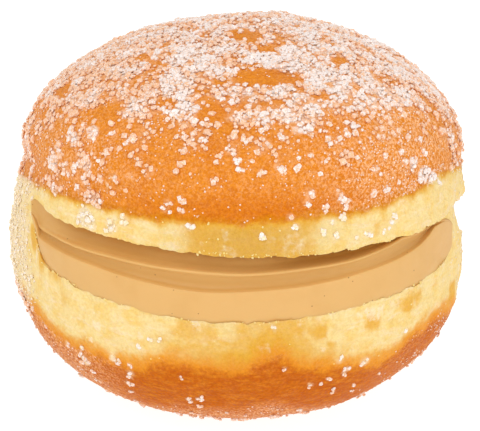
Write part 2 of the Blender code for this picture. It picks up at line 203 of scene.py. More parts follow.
DENSE_PATCHES = (
    (-28.5, -3, 68, 5, 1), (-19, 1, 71.5, 3.8, 1), (-12, -3, 73, 3.4, 1), (-10.5, -11, 73, 2.2, 1),
    (-6.5, -16.5, 73, 3, 1), (-2.5, -11, 73.5, 2.6, 1), (-4, -20.5, 72, 2.8, 1), (-12, -24.5, 70.5, 3.4, 1),
    (-10, -31, 67.5, 2.4, 0.7), (-20, -27, 67.5, 3, 0.8), (-27.5, -18.5, 67.5, 2, 0.9),
    (-32, -16, 65.5, 2, 0.9), (-31.5, -11, 66.5, 1.8, 1), (-36, -15, 62.5, 3, 0.6), (-41, -6.5, 56.5, 2, 1),
    (0, -32.5, 67.5, 2.2, 0.6), (2.5, -14, 73, 2.2, 1), (5, -3.5, 73.5, 1, 0.6), (9.5, -10, 73, 2.5, 1),
    (10.5, -4.5, 73, 1.4, 1), (9, -16, 72, 3.2, 1), (13, -16, 72, 2.6, 1), (5.5, -16.5, 72.5, 2, 1),
    (16.5, 2.5, 72, 2.8, 0.8), (15, -8, 72.5, 2, 0.9), (20.5, -6.5, 72, 2, 1), (14.5, -22, 70.5, 2.6, 1),
    (18.5, -22, 70, 2.8, 1), (23, -16, 70, 2.6, 1), (24, -24, 67.5, 2.2, 1), (27.5, -12.5, 69.5, 1.4, 1),
    (27.5, -18.5, 68, 2.2, 0.9), (31, -18.5, 66, 2.6, 0.8), (33, -1.5, 66, 2.6, 1),
    (37.5, -2.5, 62.5, 3.2, 1), (28, 1, 68.5, 3, 0.9), (9.5, -28, 69.5, 1.9, 1), (6, -27, 70, 1.9, 0.8),
    (2.5, -33, 67.5, 1.8, 0.6), (11.5, -33, 66.5, 2.6, 0.7), (-31.5, -25, 61, 1.5, 0.8),
    (-28, -27.5, 62.5, 1.6, 0.9), (-36, -22.5, 55, 1.7, 0.9), (-29.5, -30, 57, 1.4, 0.9),
    (-28, -32, 51.5, 1.8, 0.6), (33, -27, 56, 1.3, 0.8), (35, -25, 53, 1.5, 0.8), (37, -22.5, 51, 1.6, 0.7),
    (-29, -31.5, 46.5, 2.2, 0.7), (-24, -35, 46, 1.8, 0.6), (19.5, -27, 68, 3, 0.35),
    (21.5, -27.5, 67, 3, 0.3), (19.5, -31.5, 65, 3.4, 0.2), (21, -33, 63, 3, 0.15),
    (23.5, -25.5, 67, 2.4, 0.4), (38.5, -10, 61.5, 2.4, 0.5), (40.5, -9, 59, 2, 0.5),
    (-20.5, -36.5, 57, 1.2, 0.4), (-17, -37.5, 58.5, 1.2, 0.35),
)

# Deep yellow and sugary white patches of the ring, in millimetres: place, radius and strength. The first two
# golden patches, broad and high on the ring's front under the lid, are partly painted shade.
GOLDEN_PATCHES = (
    # The first two patches stand partly for painted shade under the lid, and partly for the ring's deep
    # yellow
    (-2, -43, 46.5, 9, 0.9), (8, -42.5, 47, 7, 0.7), (6, -43, 25.5, 9, 0.65), (-36, -26.5, 34, 1.8, 0.8),
    (-35, -28, 32, 1.4, 0.6), (-34, -29, 28.5, 1.6, 0.5), (-38.5, -23, 35.5, 1.8, 0.9),
    (-40, -20.5, 38.5, 2.2, 1), (-39.5, -21.5, 37, 2.2, 1), (-9.5, -43, 28.5, 2.8, 0.7),
    (-12.5, -42, 28, 1.6, 0.6), (-6.5, -43.5, 28, 2.4, 0.6), (-15.5, -41, 25.5, 1.6, 0.5),
    (4, -44, 29, 2, 0.5), (15, -41.5, 27.5, 2, 1), (12, -42.5, 28, 1.6, 0.7), (25.5, -36, 27, 2, 0.9),
    (32.5, -30.5, 28.5, 1.8, 0.9), (34.5, -28.5, 29, 1.8, 0.8), (30.5, -32, 29, 1.2, 0.6),
    (38, -23.5, 30.5, 1.4, 0.8), (39, -21.5, 31.5, 1, 0.6), (42, -15.5, 25.5, 1.6, 0.9),
    (41.5, -16, 23, 1.6, 0.9), (17.5, -40, 24.5, 0.8, 0.9), (16.5, -40, 22, 2.4, 0.6),
    (11.5, -42.5, 25, 3.6, 0.5), (-1, -43.5, 45.5, 2, 0.7), (1, -43.5, 44, 1.6, 0.8),
    (-4.5, -42.5, 48, 2.4, 0.5), (-2.5, -42.5, 49.5, 1.6, 0.4), (2, -43, 48, 2, 0.4),
    (27.5, -34, 46.5, 1.6, 0.4), (26, -35, 46, 1.6, 0.5), (-32, -31, 25, 2, 0.3),
    (5.5, -43.5, 24.5, 1.8, 0.6), (19, -39.5, 27.5, 1.8, 0.4), (-23, -37, 43.5, 1.6, 0.3),
)
FROSTY_PATCHES = (
    (-29.5, -31.5, 47, 1.8, 0.9), (-28, -33, 45.5, 1.4, 0.8), (-24.5, -35.5, 47.5, 1.4, 0.8),
    (-26, -34, 49, 1, 0.6), (-12, -41, 47, 1.6, 0.5), (-13, -41, 45, 1.4, 0.6), (-2.5, -42.5, 48, 1.6, 0.5),
    (-3.5, -43, 45, 1.2, 0.6), (-6.5, -42.5, 46.5, 1, 0.4), (-1.5, -43.5, 44.5, 1.6, 0.5),
    (10, -42.5, 46, 2.8, 0.5), (6, -43, 47, 1.2, 0.5), (31, -30.5, 49, 1.8, 0.6),
    (33.5, -29, 47.5, 1.2, 0.5), (36.5, -25, 47.5, 1.6, 0.5), (39, -21, 46.5, 1.4, 0.6),
    (36, -24, 51, 1, 0.9), (24.5, -35.5, 49, 2.8, 0.4), (-31.5, -31, 31, 1.2, 0.9),
    (-36.5, -26.5, 27.5, 1, 0.8), (-37.5, -25, 29, 0.8, 0.7), (-39.5, -21.5, 33.5, 0.8, 0.9),
    (-39.5, -22, 35.5, 0.8, 0.9), (-38.5, -23, 31, 1.4, 0.6), (-27.5, -34.5, 25.5, 1.4, 0.9),
    (-28.5, -33.5, 22.5, 1, 0.9), (-23.5, -37.5, 28, 2.4, 0.5), (-19, -39.5, 25.5, 1.2, 0.7),
    (-22, -38, 25, 1.2, 0.6), (-21, -38, 22.5, 1.6, 0.5), (-24.5, -35.5, 19, 1.2, 1),
    (-30, -30, 16, 1.4, 1), (-20, -38.5, 21, 1, 0.5), (-8.5, -43, 29.5, 1.2, 0.8), (-2.5, -44, 28, 1, 0.5),
    (11.5, -42.5, 30, 1.6, 0.5), (17.5, -40.5, 30.5, 1, 0.7), (20, -39, 30.5, 2, 0.4),
    (25, -36.5, 29, 1.6, 0.9), (27, -35, 28.5, 1.6, 0.9), (28, -34, 28.5, 1.2, 0.9),
    (30, -32.5, 29.5, 2, 0.6), (23, -37.5, 29, 1.6, 0.7), (35.5, -27, 32.5, 1.2, 0.7),
    (37.5, -24.5, 33.5, 1, 0.6), (41, -17, 32, 1.6, 0.7), (43.5, -11, 27, 1, 0.8), (41.5, -16, 35, 1, 0.6),
    (34, -28.5, 25, 2.4, 0.4), (25, -35.5, 22, 1.6, 0.4), (21, -38, 22, 2.4, 0.4),
    (4.5, -43.5, 25, 1.6, 0.5), (16, -40.5, 23.5, 0.8, 0.8), (36.5, -25.5, 26, 1.4, 0.5),
    (42, -14, 46.5, 1.6, 0.5), (41, -18.5, 42, 1.6, 0.4), (-25, -34, 54.5, 1.2, 0.7),
    (-24, -34.5, 56, 1.2, 0.6), (-34.5, -25.5, 51.5, 1.6, 0.5),
)

# Clumps of coarse crystals that lie apart from the rest, in millimetres: place and clump radius
LONE_CLUMPS = (
    (-21, -32.5, 63, 0.9), (-7, -36.5, 64, 0.6), (-6.5, -37.5, 63, 0.3), (-0.5, -39.5, 61.5, 0.7),
    (-1.5, -38.5, 63, 0.9), (-4.5, -39.5, 61.5, 0.3), (-24, -30, 63.5, 0.6), (-23.5, -35, 56.5, 0.9),
    (-33.5, -26.5, 54, 0.5), (-26.5, -33.5, 51, 0.6), (3.5, -38.5, 63, 1), (5, -37.5, 64, 1),
    (8, -36, 65, 1), (1.5, -37, 64, 0.7), (11, -38, 61.5, 0.4), (13, -37.5, 62, 0.5), (17, -32, 66, 0.4),
    (20, -32, 64.5, 0.6), (29, -27, 62, 0.7), (30.5, -28.5, 59, 0.7), (31.5, -28.5, 57, 0.6),
    (34.5, -23.5, 59.5, 0.6), (35, -24, 57.5, 0.6), (34.5, -25.5, 54, 0.7), (26.5, -33, 56.5, 0.3),
    (16, -37, 60.5, 0.2), (22, -34.5, 60, 0.3), (15, -38.5, 58.5, 0.2), (-22, -37, 48.5, 1),
    (-9.5, -41.5, 49, 0.8), (4, -43, 47.5, 0.6), (17.5, -39.5, 49, 0.8), (19.5, -38.5, 49.5, 0.6),
    (18, -39.5, 46, 0.8), (16, -40.5, 47.5, 0.6), (24.5, -36.5, 45.5, 0.8), (22, -37.5, 45.5, 0.6),
    (27.5, -34.5, 45, 0.6), (28, -33.5, 45.5, 0.6), (29, -33, 46.5, 0.6), (29.5, -32, 47.5, 0.6),
    (38.5, -20.5, 49.5, 0.8), (36, -26.5, 42, 1), (-19, -39, 23, 0.8), (-17, -40, 25, 0.6),
    (-15.5, -41, 25.5, 0.6), (-33.5, -27.5, 18.5, 0.8), (-21, -37, 18.5, 0.6), (5.5, -43.5, 31, 0.8),
    (6.5, -43.5, 29.5, 0.6), (32, -30, 22.5, 0.6), (9.5, -41.5, 51, 0.8), (10.5, -41.5, 49, 0.8),
    (-30.5, -31, 19.5, 0.6), (13, -40, 55, 1), (12.5, -40, 53.5, 1), (13.5, -40, 55.5, 0.8),
    (19, -38, 53.5, 1), (19.5, -37.5, 52.5, 1), (18.5, -38, 54.5, 0.8), (16, -39, 52, 0.8),
    (20, -37.5, 51.5, 0.8), (27.5, -32.5, 53, 1), (25, -34.5, 53, 0.6), (-5, -41, 58, 0.8),
    (0, -40.5, 60, 0.6), (-13.5, -40, 53.5, 0.8), (-14, -39.5, 52, 1), (-11, -40.5, 52, 0.8),
    (-11, -40.5, 54.5, 0.8), (4, -40.5, 59.5, 0.8), (7, -40, 60.5, 0.8), (8, -40, 59.5, 0.8),
    (10.5, -39, 60, 0.6), (25.5, -33.5, 57.5, 0.8), (30, -30, 53.5, 0.4), (8.5, -42, 20, 0.6),
    (17, -38, 16, 0.6), (20.5, -37, 17.5, 0.8), (24, -35.5, 18.5, 1.2), (19, -38.5, 20, 0.8),
    (-30.5, -30, 17, 1), (-29.5, -30.5, 16, 0.8), (-30.5, -29, 15.5, 0.6), (-24.5, -35.5, 19, 0.8),
    (-23.5, -36, 18.5, 0.6), (-21, -36.5, 16.5, 0.8), (-21, -36, 15.5, 0.6), (-21.5, -34.5, 13.5, 0.8),
    (-21, -33, 11, 0.5), (-21.5, -37, 18.5, 0.4), (-10, -38, 11.5, 0.6), (-9.5, -37.5, 11, 0.5),
    (-8, -38.5, 12, 0.6), (-7.5, -37, 10, 0.5), (-7.5, -39, 13, 0.4), (-2.5, -35.5, 7.5, 0.4),
    (8, -42, 20, 0.4), (13.5, -39, 15, 0.6), (15.5, -38, 15, 0.4), (20, -37, 16.5, 0.6), (20, -37, 18, 0.4),
    (18, -35, 12, 0.5), (18, -36, 13, 0.4), (22, -33.5, 12.5, 0.5), (21.5, -32, 11, 0.4),
    (27, -30.5, 13.5, 0.5), (-11.5, -40.5, 17.5, 0.4), (-28.5, -30, 14, 0.4), (-20, -29.5, 7, 0.5),
    (24, -26, 7.5, 0.6), (11.5, -32.5, 7, 0.5), (-27.5, -28, 11, 0.6), (-40.5, -12.5, 49, 1.2),
    (-41, -8.5, 51.5, 0.9), (-41.5, -7.5, 54, 0.9), (-35.5, -24.5, 50, 1.2), (-33.5, -26.5, 55.5, 1),
    (-32.5, -27.5, 54.5, 1), (-31, -29.5, 52, 0.9), (-30.5, -29, 57, 0.8), (-29.5, -30.5, 54, 1.2),
    (-28.5, -31.5, 55.5, 0.8), (-28, -28, 62, 1.2), (-35.5, -23, 56, 1.2), (-34.5, -24, 57.5, 0.8),
    (-31.5, -28.5, 55.5, 0.6), (-29.5, -25.5, 63, 0.8), (-34, -19.5, 62.5, 0.8), (-23.5, -35, 56.5, 0.6),
    (-26.5, -32, 58.5, 0.4), (-29, -31.5, 47, 1.2), (-28, -32, 46, 1), (-27.5, -33, 47, 0.8),
    (-24, -35, 46, 0.8),
    (1, -6, 73.5, 0.7), (5, -3.5, 73.5, 0.6), (4, -1, 73.5, 0.6), (0, -1.5, 73.5, 0.5),
)

# The thin sugar round each of them
HALOS = tuple((*clump, 1.0) for clump in LONE_CLUMPS)


def smooth_step(value, low, high):
    """0 below low, 1 above high, and an even curve between."""
    share = min(1.0, max(0.0, (value - low) / (high - low)))
    return share * share * (3.0 - 2.0 * share)


def hump(offset, spread):
    """1 at no offset, falling to nothing a few spreads away."""
    return math.exp(-((offset / spread) ** 2))


def azimuth(point):
    """Degrees round the bun from its open front, positive to the right."""
    return math.degrees(math.atan2(point.x, -point.y))


def along(table, psi):
    """A value on a smooth curve through a table of azimuths and values."""
    last_row = len(table) - 1
    place = min(last_row, max(1, bisect.bisect(table, (psi,))))
    before, start, end, after = (table[min(last_row, max(0, place + step))] for step in (-2, -1, 0, 1))
    span = end[0] - start[0]
    share = min(1.0, max(0.0, (psi - start[0]) / span))
    first = span * (end[1] - before[1]) / (end[0] - before[0])
    last = span * (after[1] - start[1]) / (after[0] - start[0])
    rise = end[1] - start[1]
    bend = 3.0 * rise - 2.0 * first - last + (first + last - 2.0 * rise) * share
    return start[1] + share * (first + share * bend)


def length_of(name, description, default, most=0.1):
    """A length that a user can change."""
    return FloatProperty(name=name, description=description, default=default, min=0.0, max=most,
                         subtype="DISTANCE", unit="LENGTH", precision=5)


def turn_of(name, description, degrees):
    """An angle that a user can change."""
    return FloatProperty(name=name, description=description, default=math.radians(degrees),
                         subtype="ANGLE", unit="ROTATION")


def colour_of(name, description, default):
    """A colour that a user can change."""
    return FloatVectorProperty(name=name, description=description, default=default, size=3,
                               min=0.0, max=1.0, subtype="COLOR")


def count_of(name, description, default):
    """A number of pieces that a user can change."""
    return IntProperty(name=name, description=description, default=default, min=0)


class BerlinerBunSizes(bpy.types.PropertyGroup):
    """The bun's form: a bowl, a pale ring and a dome, raised over the cream."""

    base_radius: length_of("Base radius", "Radius of the widest part of the base", 45.1 * MM)
    lid_radius: length_of("Lid radius", "Radius of the lid at its rim", 43.4 * MM)
    equator: length_of("Equator height", "Height of the widest part", 29.8 * MM)
    bowl_drop: length_of("Bowl drop", "How far the base's curve reaches below the equator", 31.9 * MM)
    ring_height: length_of("Ring height", "Height of the straight ring on the closed bun", 10.9 * MM)
    dome_height: length_of("Dome height", "Height of the lid's dome above the ring", 26.5 * MM)
    front_rise: length_of("Front rise", "How far the lid is raised over the mouth", 11.4 * MM)
    left_rise: length_of("Left rise", "How far the lid is raised at its left side", 7.0 * MM)
    right_rise: length_of("Right rise", "How far the lid is raised at its right side", 6.0 * MM)
    top_rise: length_of("Top rise", "How far the top of the dome is raised", 6.5 * MM)
    base_shift: length_of("Base shift", "How far the base stands to the left", 0.3 * MM)
    lid_shift: length_of("Lid shift", "How far the lid stands to the right", 0.5 * MM)
    dent_depth: length_of("Dents", "Depth of the broad dents in the crust", 0.55 * MM)
    ripple_depth: length_of("Ripples", "Depth of the small ripples in the crust", 0.22 * MM)
    left_bulge: length_of("Left bulge", "How far the ring swells at the left", 0.9 * MM)
    left_tuck: length_of("Left tuck", "How far the lid's rim is drawn in at the left", 0.9 * MM)
    rim_tuck: length_of("Rim tuck", "How far the lid's rim is drawn in elsewhere", 0.2 * MM)
    fold_depth: length_of("Fold", "Depth of the fold at the right side", 3.6 * MM)
    pucker: length_of("Puckers", "Height of the crust's fine puckers", 0.11 * MM)
    crumb: length_of("Crumb relief", "Height of the pale ring's crumb", 0.26 * MM)
    rings: count_of("Rings", "Points along the turned profile", 150)
    steps: count_of("Steps", "Steps round the turned form", 384)


class BerlinerMouthSizes(bpy.types.PropertyGroup):
    """The slit in the bun's front."""

    left_end: turn_of("Left end", "Azimuth of the slit's left end", -65.0)
    right_end: turn_of("Right end", "Azimuth of the slit's right end", 66.6)
    back: length_of("Back", "How far past the middle the slit reaches", 5.5 * MM)
    lower_lip: length_of("Lower lip", "Height of the base's cut edge in front", 30.5 * MM)
    upper_lip: length_of("Upper lip", "Height of the lid's cut edge in front", 43.3 * MM)
    notch: length_of("Notches", "Depth of the notches torn in both lips", 0.55 * MM)
    stations: count_of("Stations", "Sections along the slit", 420)


class BerlinerCreamSizes(bpy.types.PropertyGroup):
    """The cream that fills the slit, and the two lines that part its bands."""

    gap: length_of("Gap", "Space between cream and bread", 0.04 * MM)
    lower_line: length_of("Lower line", "Height of the line over the lowest band", 36.9 * MM)
    upper_line: length_of("Upper line", "Height of the line over the middle band", 40.2 * MM)
    wave: length_of("Waves", "Height of the soft waves along the bands", 0.16 * MM)
    stations: count_of("Stations", "Sections along the cream", 420)


class BerlinerSugarAmounts(bpy.types.PropertyGroup):
    """How much sugar of each grade there is, and how coarse it is."""

    coarse_count: count_of("Coarse crystals", "Most crystals of the coarse grade", 7500)
    coarse_size: length_of("Coarse size", "Length of a coarse crystal", 1.4 * MM)
    medium_count: count_of("Medium crystals", "Most crystals of the medium grade", 9500)
    medium_size: length_of("Medium size", "Length of a medium crystal", 0.85 * MM)
    fine_count: count_of("Fine crystals", "Most crystals of the fine grade", 24500)
    fine_size: length_of("Fine size", "Length of a fine crystal", 0.42 * MM)
    crumb_count: count_of("Crumbs", "Most crumbs along the lips and the ring", 3000)
    crumb_size: length_of("Crumb size", "Length of a crumb", 0.6 * MM)
    seed: count_of("Seed", "Seed of the scatter and of the noise", 7)


class BerlinerColours(bpy.types.PropertyGroup):
    """Colours of crust, crumb, cream and sugar."""

    crust: colour_of("Crust", "Golden-orange crust of the lid", (0.73, 0.24, 0.016))
    # Deep crust makes the lid darker towards its rim, most at the front, and also gives its random blotches
    crust_deep: colour_of("Deep crust", "Browner crust towards the lid's rim", (0.65, 0.173, 0.005))
    base_crust: colour_of("Base crust", "Brown-orange crust of the base", (0.53, 0.12, 0.004))
    base_amber: colour_of("Base amber", "Amber crust where the base turns pale", (0.77, 0.29, 0.02))
    amber: colour_of("Rim amber", "Amber edge between lid and ring", (0.62, 0.205, 0.003))
    pale: colour_of("Ring", "Pale ring round the middle", (0.85, 0.66, 0.30))
    pale_shade: colour_of("Ring tint", "Yellower tint in the pale ring", (0.84, 0.59, 0.18))
    golden: colour_of("Golden", "Deep yellow patches of the ring", (0.75, 0.39, 0.035))
    frost: colour_of("Frost", "Sugary white patches of the ring", (0.88, 0.72, 0.46))
    crumb: colour_of("Crumb", "Soft crumb inside the slit", (0.84, 0.60, 0.24))
    film: colour_of("Sugar film", "Fine sugar dust on the crust", (0.88, 0.47, 0.24))
    cream: colour_of("Cream", "Caramel cream", (0.70, 0.405, 0.138))
    # Deep cream is painted shade in the cream's recesses and under the lid, and also the colour of its random
    # blotches
    cream_deep: colour_of("Deep cream", "Darker caramel in the cream's hollows", (0.55, 0.27, 0.06))
    speck: colour_of("Specks", "Tiny brown specks in the cream", (0.30, 0.14, 0.04))
    sugar: colour_of("Sugar", "Thick white sugar", (0.90, 0.81, 0.77))
    sugar_clear: colour_of("Clear sugar", "Clear crystals that take the crust's colour", (0.87, 0.49, 0.27))
    sugar_ring: colour_of("Ring sugar", "Clear crystals that take the ring's colour", (0.90, 0.72, 0.43))


class BerlinerStageSettings(bpy.types.PropertyGroup):
    """Floor, lamps and camera."""

    floor: colour_of("Floor", "Pale floor", (0.30, 0.30, 0.30))
    glow: FloatProperty(name="Glow", description="Light that the floor gives off", default=0.9, min=0.0)
    sky: FloatProperty(name="Sky", description="Strength of the even light", default=0.85, min=0.0)
    key: FloatProperty(name="Key", description="Power of the large lamp above", default=2.6, min=0.0,
                       unit="POWER")
    fill: FloatProperty(name="Fill", description="Power of the lamp at the front", default=1.5, min=0.0,
                        unit="POWER")
    distance: length_of("Distance", "Camera to the middle of the bun", 0.7, most=10.0)
    elevation: turn_of("Elevation", "Height of the camera above the horizon", 22.0)
    target: length_of("Target", "Height of the camera's sight line above the floor's centre", 39.3 * MM)
    lens: FloatProperty(name="Lens", description="Focal length", default=262.5, min=1.0,
                        subtype="DISTANCE_CAMERA", unit="CAMERA")


def sizes_of(group):
    """A property group's values, read once."""
    return SimpleNamespace(**{key: getattr(group, key) for key in group.__annotations__})


def left_side(psi):
    """1 round the bun's left side, 0 in front and behind."""
    return smooth_step(-psi, 55.0, 80.0) * (1.0 - smooth_step(-psi, 110.0, 150.0))


def profile_point(bun, share):
    """Radius and height of the closed bun: share 0 is the top, 1 the centre of the rest face."""
    shoulder = bun.equator + bun.ring_height
    if share < DOME_END:
        angle = math.radians(90.0 * share / DOME_END)
        radius = bun.lid_radius * math.sin(angle) ** (2.0 / DOME_POWER)
        return radius, shoulder + bun.dome_height * math.cos(angle) ** (2.0 / DOME_POWER)
    if share < RING_END:
        step = (share - DOME_END) / (RING_END - DOME_END)
        radius = bun.lid_radius + (bun.base_radius - bun.lid_radius) * step
        return radius, shoulder + (bun.equator - shoulder) * step
    if share < BOWL_END:
        last = math.asin((bun.equator / bun.bowl_drop) ** (BOWL_POWER / 2.0))
        angle = last * (share - RING_END) / (BOWL_END - RING_END)
        radius = bun.base_radius * math.cos(angle) ** (2.0 / BOWL_POWER)
        return radius, bun.equator - bun.bowl_drop * math.sin(angle) ** (2.0 / BOWL_POWER)
    flat_share = 1.0 - (bun.equator / bun.bowl_drop) ** BOWL_POWER
    flat_radius = bun.base_radius * flat_share ** (1.0 / BOWL_POWER)
    return flat_radius * (1.0 - share) / (1.0 - BOWL_END), 0.0


def lid_rise(bun, psi):
    """How far the lid's rim is raised at an azimuth: most over the mouth, nothing at the back."""
    turn = abs(psi)
    to_right = 0.5 + 0.5 * math.sin(math.radians(psi))
    side = bun.left_rise + (bun.right_rise - bun.left_rise) * to_right
    front = bun.front_rise + (side - bun.front_rise) * smooth_step(turn, RISE_EVEN_TO, RISE_AT_SIDE)
    return front * (1.0 - smooth_step(turn, RISE_FALLS_FROM, 180.0))


def skin_swell(bun, point, psi):
    """How far the skin stands out from the even form: dents, ripples, the left ring and the right fold."""
    swell = bun.dent_depth * noise.noise(point / DENT_SIZE)
    swell += bun.ripple_depth * noise.noise(point / RIPPLE_SIZE)
    left = left_side(psi)
    swell += left * bun.left_bulge * hump(point.z - bun.equator, 6.0 * MM)
    tuck = bun.rim_tuck + left * (bun.left_tuck - bun.rim_tuck)
    swell -= tuck * hump(point.z - bun.equator - bun.ring_height, 2.5 * MM)
    crease = bun.equator + FOLD_RISE - 0.13 * (point.y + 4.0 * MM)
    fold = hump(psi - FOLD_AZIMUTH, FOLD_SPREAD) * hump(point.z - crease, FOLD_HALF_WIDTH)
    return swell - bun.fold_depth * fold


def opened(bun, point):
    """Moves a point of the closed, evenly turned bun to where it is on the opened, uneven one."""
    psi = azimuth(point)
    radius = math.hypot(point.x, point.y)
    raised = smooth_step(point.z, bun.equator - 2.5 * MM, bun.equator + 3.0 * MM)
    outwards = min(1.0, (radius / bun.lid_radius) ** 2)
    rise = bun.top_rise + (lid_rise(bun, psi) - bun.top_rise) * outwards
    swell = skin_swell(bun, point, psi)
    off_floor = smooth_step(point.z, 0.0, 8.0 * MM)
    grown = 1.0 + off_floor * swell / max(radius, 10.0 * MM)
    upwards = swell * smooth_step(point.z, 50.0 * MM, 62.0 * MM)
    shift = -bun.base_shift + raised * (bun.lid_shift + bun.base_shift)
    across = point.x * grown + shift * off_floor
    return Vector((across, point.y * grown * DEPTH_SHARE, point.z + raised * rise + upwards))


def edges_at(point):
    """How far a point is above the lid's edge, and below the base's edge, in millimetres."""
    psi = azimuth(point)
    height = point.z / MM
    return height - along(LID_EDGE, psi), along(BASE_EDGE, psi) - height


def lower_lip(mouth, psi):
    """Height of the base's cut edge."""
    return mouth.lower_lip + along(LOWER_LIP, psi) * MM


def upper_lip(mouth, psi):
    """Height of the lid's cut edge."""
    return mouth.upper_lip + along(UPPER_LIP, psi) * MM


def mouth_azimuth(mouth, place):
    """Azimuth at a place along the mouth: -1 is its left end and 1 its right end."""
    return math.degrees(mouth.left_end + (mouth.right_end - mouth.left_end) * (place + 1.0) / 2.0)


def pocket_plan(bun, mouth, place, depth):
    """Plan point of the slit: depth 0 is the bun's rim and 1 the back of the pocket."""
    turn = math.radians(mouth_azimuth(mouth, place))
    rim = Vector((bun.base_radius * math.sin(turn), -bun.base_radius * DEPTH_SHARE * math.cos(turn)))
    side = -2.0 * MM
    back = Vector((rim.x * 0.7, side + (mouth.back - side) * (1.0 - place * place)))
    return rim + (back - rim) * depth


def slit_heights(mouth, place, depth):
    """Heights of the base's and the lid's cut faces, which close towards the crease at the back."""
    psi = mouth_azimuth(mouth, place)
    low, high = lower_lip(mouth, psi), upper_lip(mouth, psi)
    rounded = 0.5 + 0.5 * (1.0 - abs(place) ** 34)
    middle = (low + high) / 2.0
    low = middle - (middle - low) * rounded
    high = middle + (high - middle) * rounded
    wedge = 1.0 - 0.84 * max(0.0, depth)
    return low, low + (high - low) * wedge


def notch_depth(bun, mouth, psi, side):
    """Depth of the notches that torn crumb leaves along a lip: side is -1 for the base, 1 for the lid."""
    turn = math.radians(psi)
    rim = Vector((math.sin(turn), -math.cos(turn), side)) * bun.base_radius
    broad = max(0.0, 0.35 + noise.noise(rim / (2.4 * MM)))
    fine = max(0.0, noise.noise(rim / (0.9 * MM)))
    return mouth.notch * (broad + 0.55 * fine)


def slit_section(bun, mouth, place):
    """The slit's outline at one place along the mouth, from the crease out past the rim and back."""
    psi = mouth_azimuth(mouth, place)
    inward = (1.0, 0.5, 0.12, 0.03, 0.0, -0.13)
    outline = []
    for side, depths in ((-1, inward), (1, tuple(reversed(inward)))):
        for depth in depths:
            base_face, lid_face = slit_heights(mouth, place, depth)
            height = base_face if side < 0 else lid_face
            torn = 1.0 - smooth_step(depth, 0.0, 0.12)
            torn *= 1.0 - smooth_step(abs(place), 0.86, 0.95)
            height += side * torn * notch_depth(bun, mouth, psi, side)
            plan = pocket_plan(bun, mouth, place, depth)
            outline.append(Vector((plan.x, plan.y, height)))
    return outline


def new_object(form, name):
    """An object at the origin from a bmesh, linked to the scene."""
    mesh = bpy.data.meshes.new(name)
    form.to_mesh(mesh)
    form.free()
    made = bpy.data.objects.new(name, mesh)
    bpy.context.scene.collection.objects.link(made)
    return made


def applied(source, name):
    """A new object with the source's evaluated mesh, in place of the source."""
    graph = bpy.context.evaluated_depsgraph_get()
    mesh = bpy.data.meshes.new_from_object(source.evaluated_get(graph))
    old = source.data
    bpy.data.objects.remove(source)
    bpy.data.meshes.remove(old)
    mesh.name = name
    made = bpy.data.objects.new(name, mesh)
    bpy.context.scene.collection.objects.link(made)
    return made


def ordered(form):
    """Puts edges and faces in the order of their points, because spinning leaves it to chance."""
    form.verts.index_update()
    count = len(form.verts)

    def rank(item):
        numbers = [vert.index for vert in item.verts]
        return min(numbers) * count + max(numbers)

    for items in (form.edges, form.faces):
        items.sort(key=rank)
        items.index_update()


def lofted(name, sections):
    """A closed solid through a row of like outlines, made by extruding the first one along them."""
    form = bmesh.new()
    cap = form.faces.new([form.verts.new(place) for place in sections[0]])
    for number, section in enumerate(sections[1:]):
        made = bmesh.ops.extrude_face_region(form, geom=[cap])["geom"]
        if number:
            bmesh.ops.delete(form, geom=[cap], context="FACES_ONLY")
        cap = next(item for item in made if isinstance(item, bmesh.types.BMFace))
        for vert, place in zip(cap.verts, section):
            vert.co = place
    bmesh.ops.recalc_face_normals(form, faces=form.faces)
    ordered(form)
    return new_object(form, name)


def relief(bun, point):
    """Fine relief of the skin: puckered crust above and below, open crumb on the ring between."""
    above, below = edges_at(point)
    ring = (1.0 - smooth_step(above, -0.8, 0.8)) * (1.0 - smooth_step(below, -1.5, 1.5))
    puckers = noise.noise(point / PUCKER_SIZE) + 0.7 * noise.noise(point / FINE_SIZE)
    crumb = noise.noise(point / PORE_SIZE) + 0.8 * noise.noise(point / FINE_SIZE)
    return (1.0 - ring) * (bun.pucker * puckers + 0.12 * MM) + ring * bun.crumb * crumb


def turned_bun(bun):
    """The bun's outer form: a turned profile, moved to the opened, uneven shape, with its fine relief."""
    form = bmesh.new()
    outline = [profile_point(bun, step / bun.rings) for step in range(bun.rings + 1)]
    verts = [form.verts.new((radius, 0.0, height)) for radius, height in outline]
    edges = [form.edges.new(pair) for pair in zip(verts, verts[1:])]
    bmesh.ops.spin(form, geom=verts + edges, cent=(0.0, 0.0, 0.0), axis=(0.0, 0.0, 1.0),
                   angle=math.tau, steps=bun.steps, use_merge=True)
    bmesh.ops.remove_doubles(form, verts=form.verts, dist=0.001 * MM)
    bmesh.ops.recalc_face_normals(form, faces=form.faces)
    ordered(form)
    for vert in form.verts:
        vert.co = opened(bun, vert.co)
    form.normal_update()
    for vert in form.verts:
        off_floor = smooth_step(vert.co.z, 0.3 * MM, 4.0 * MM)
        sunk = SUGAR_BED * sugar_cover(vert.co)
        vert.co += vert.normal * (relief(bun, vert.co) - sunk) * off_floor
    return form


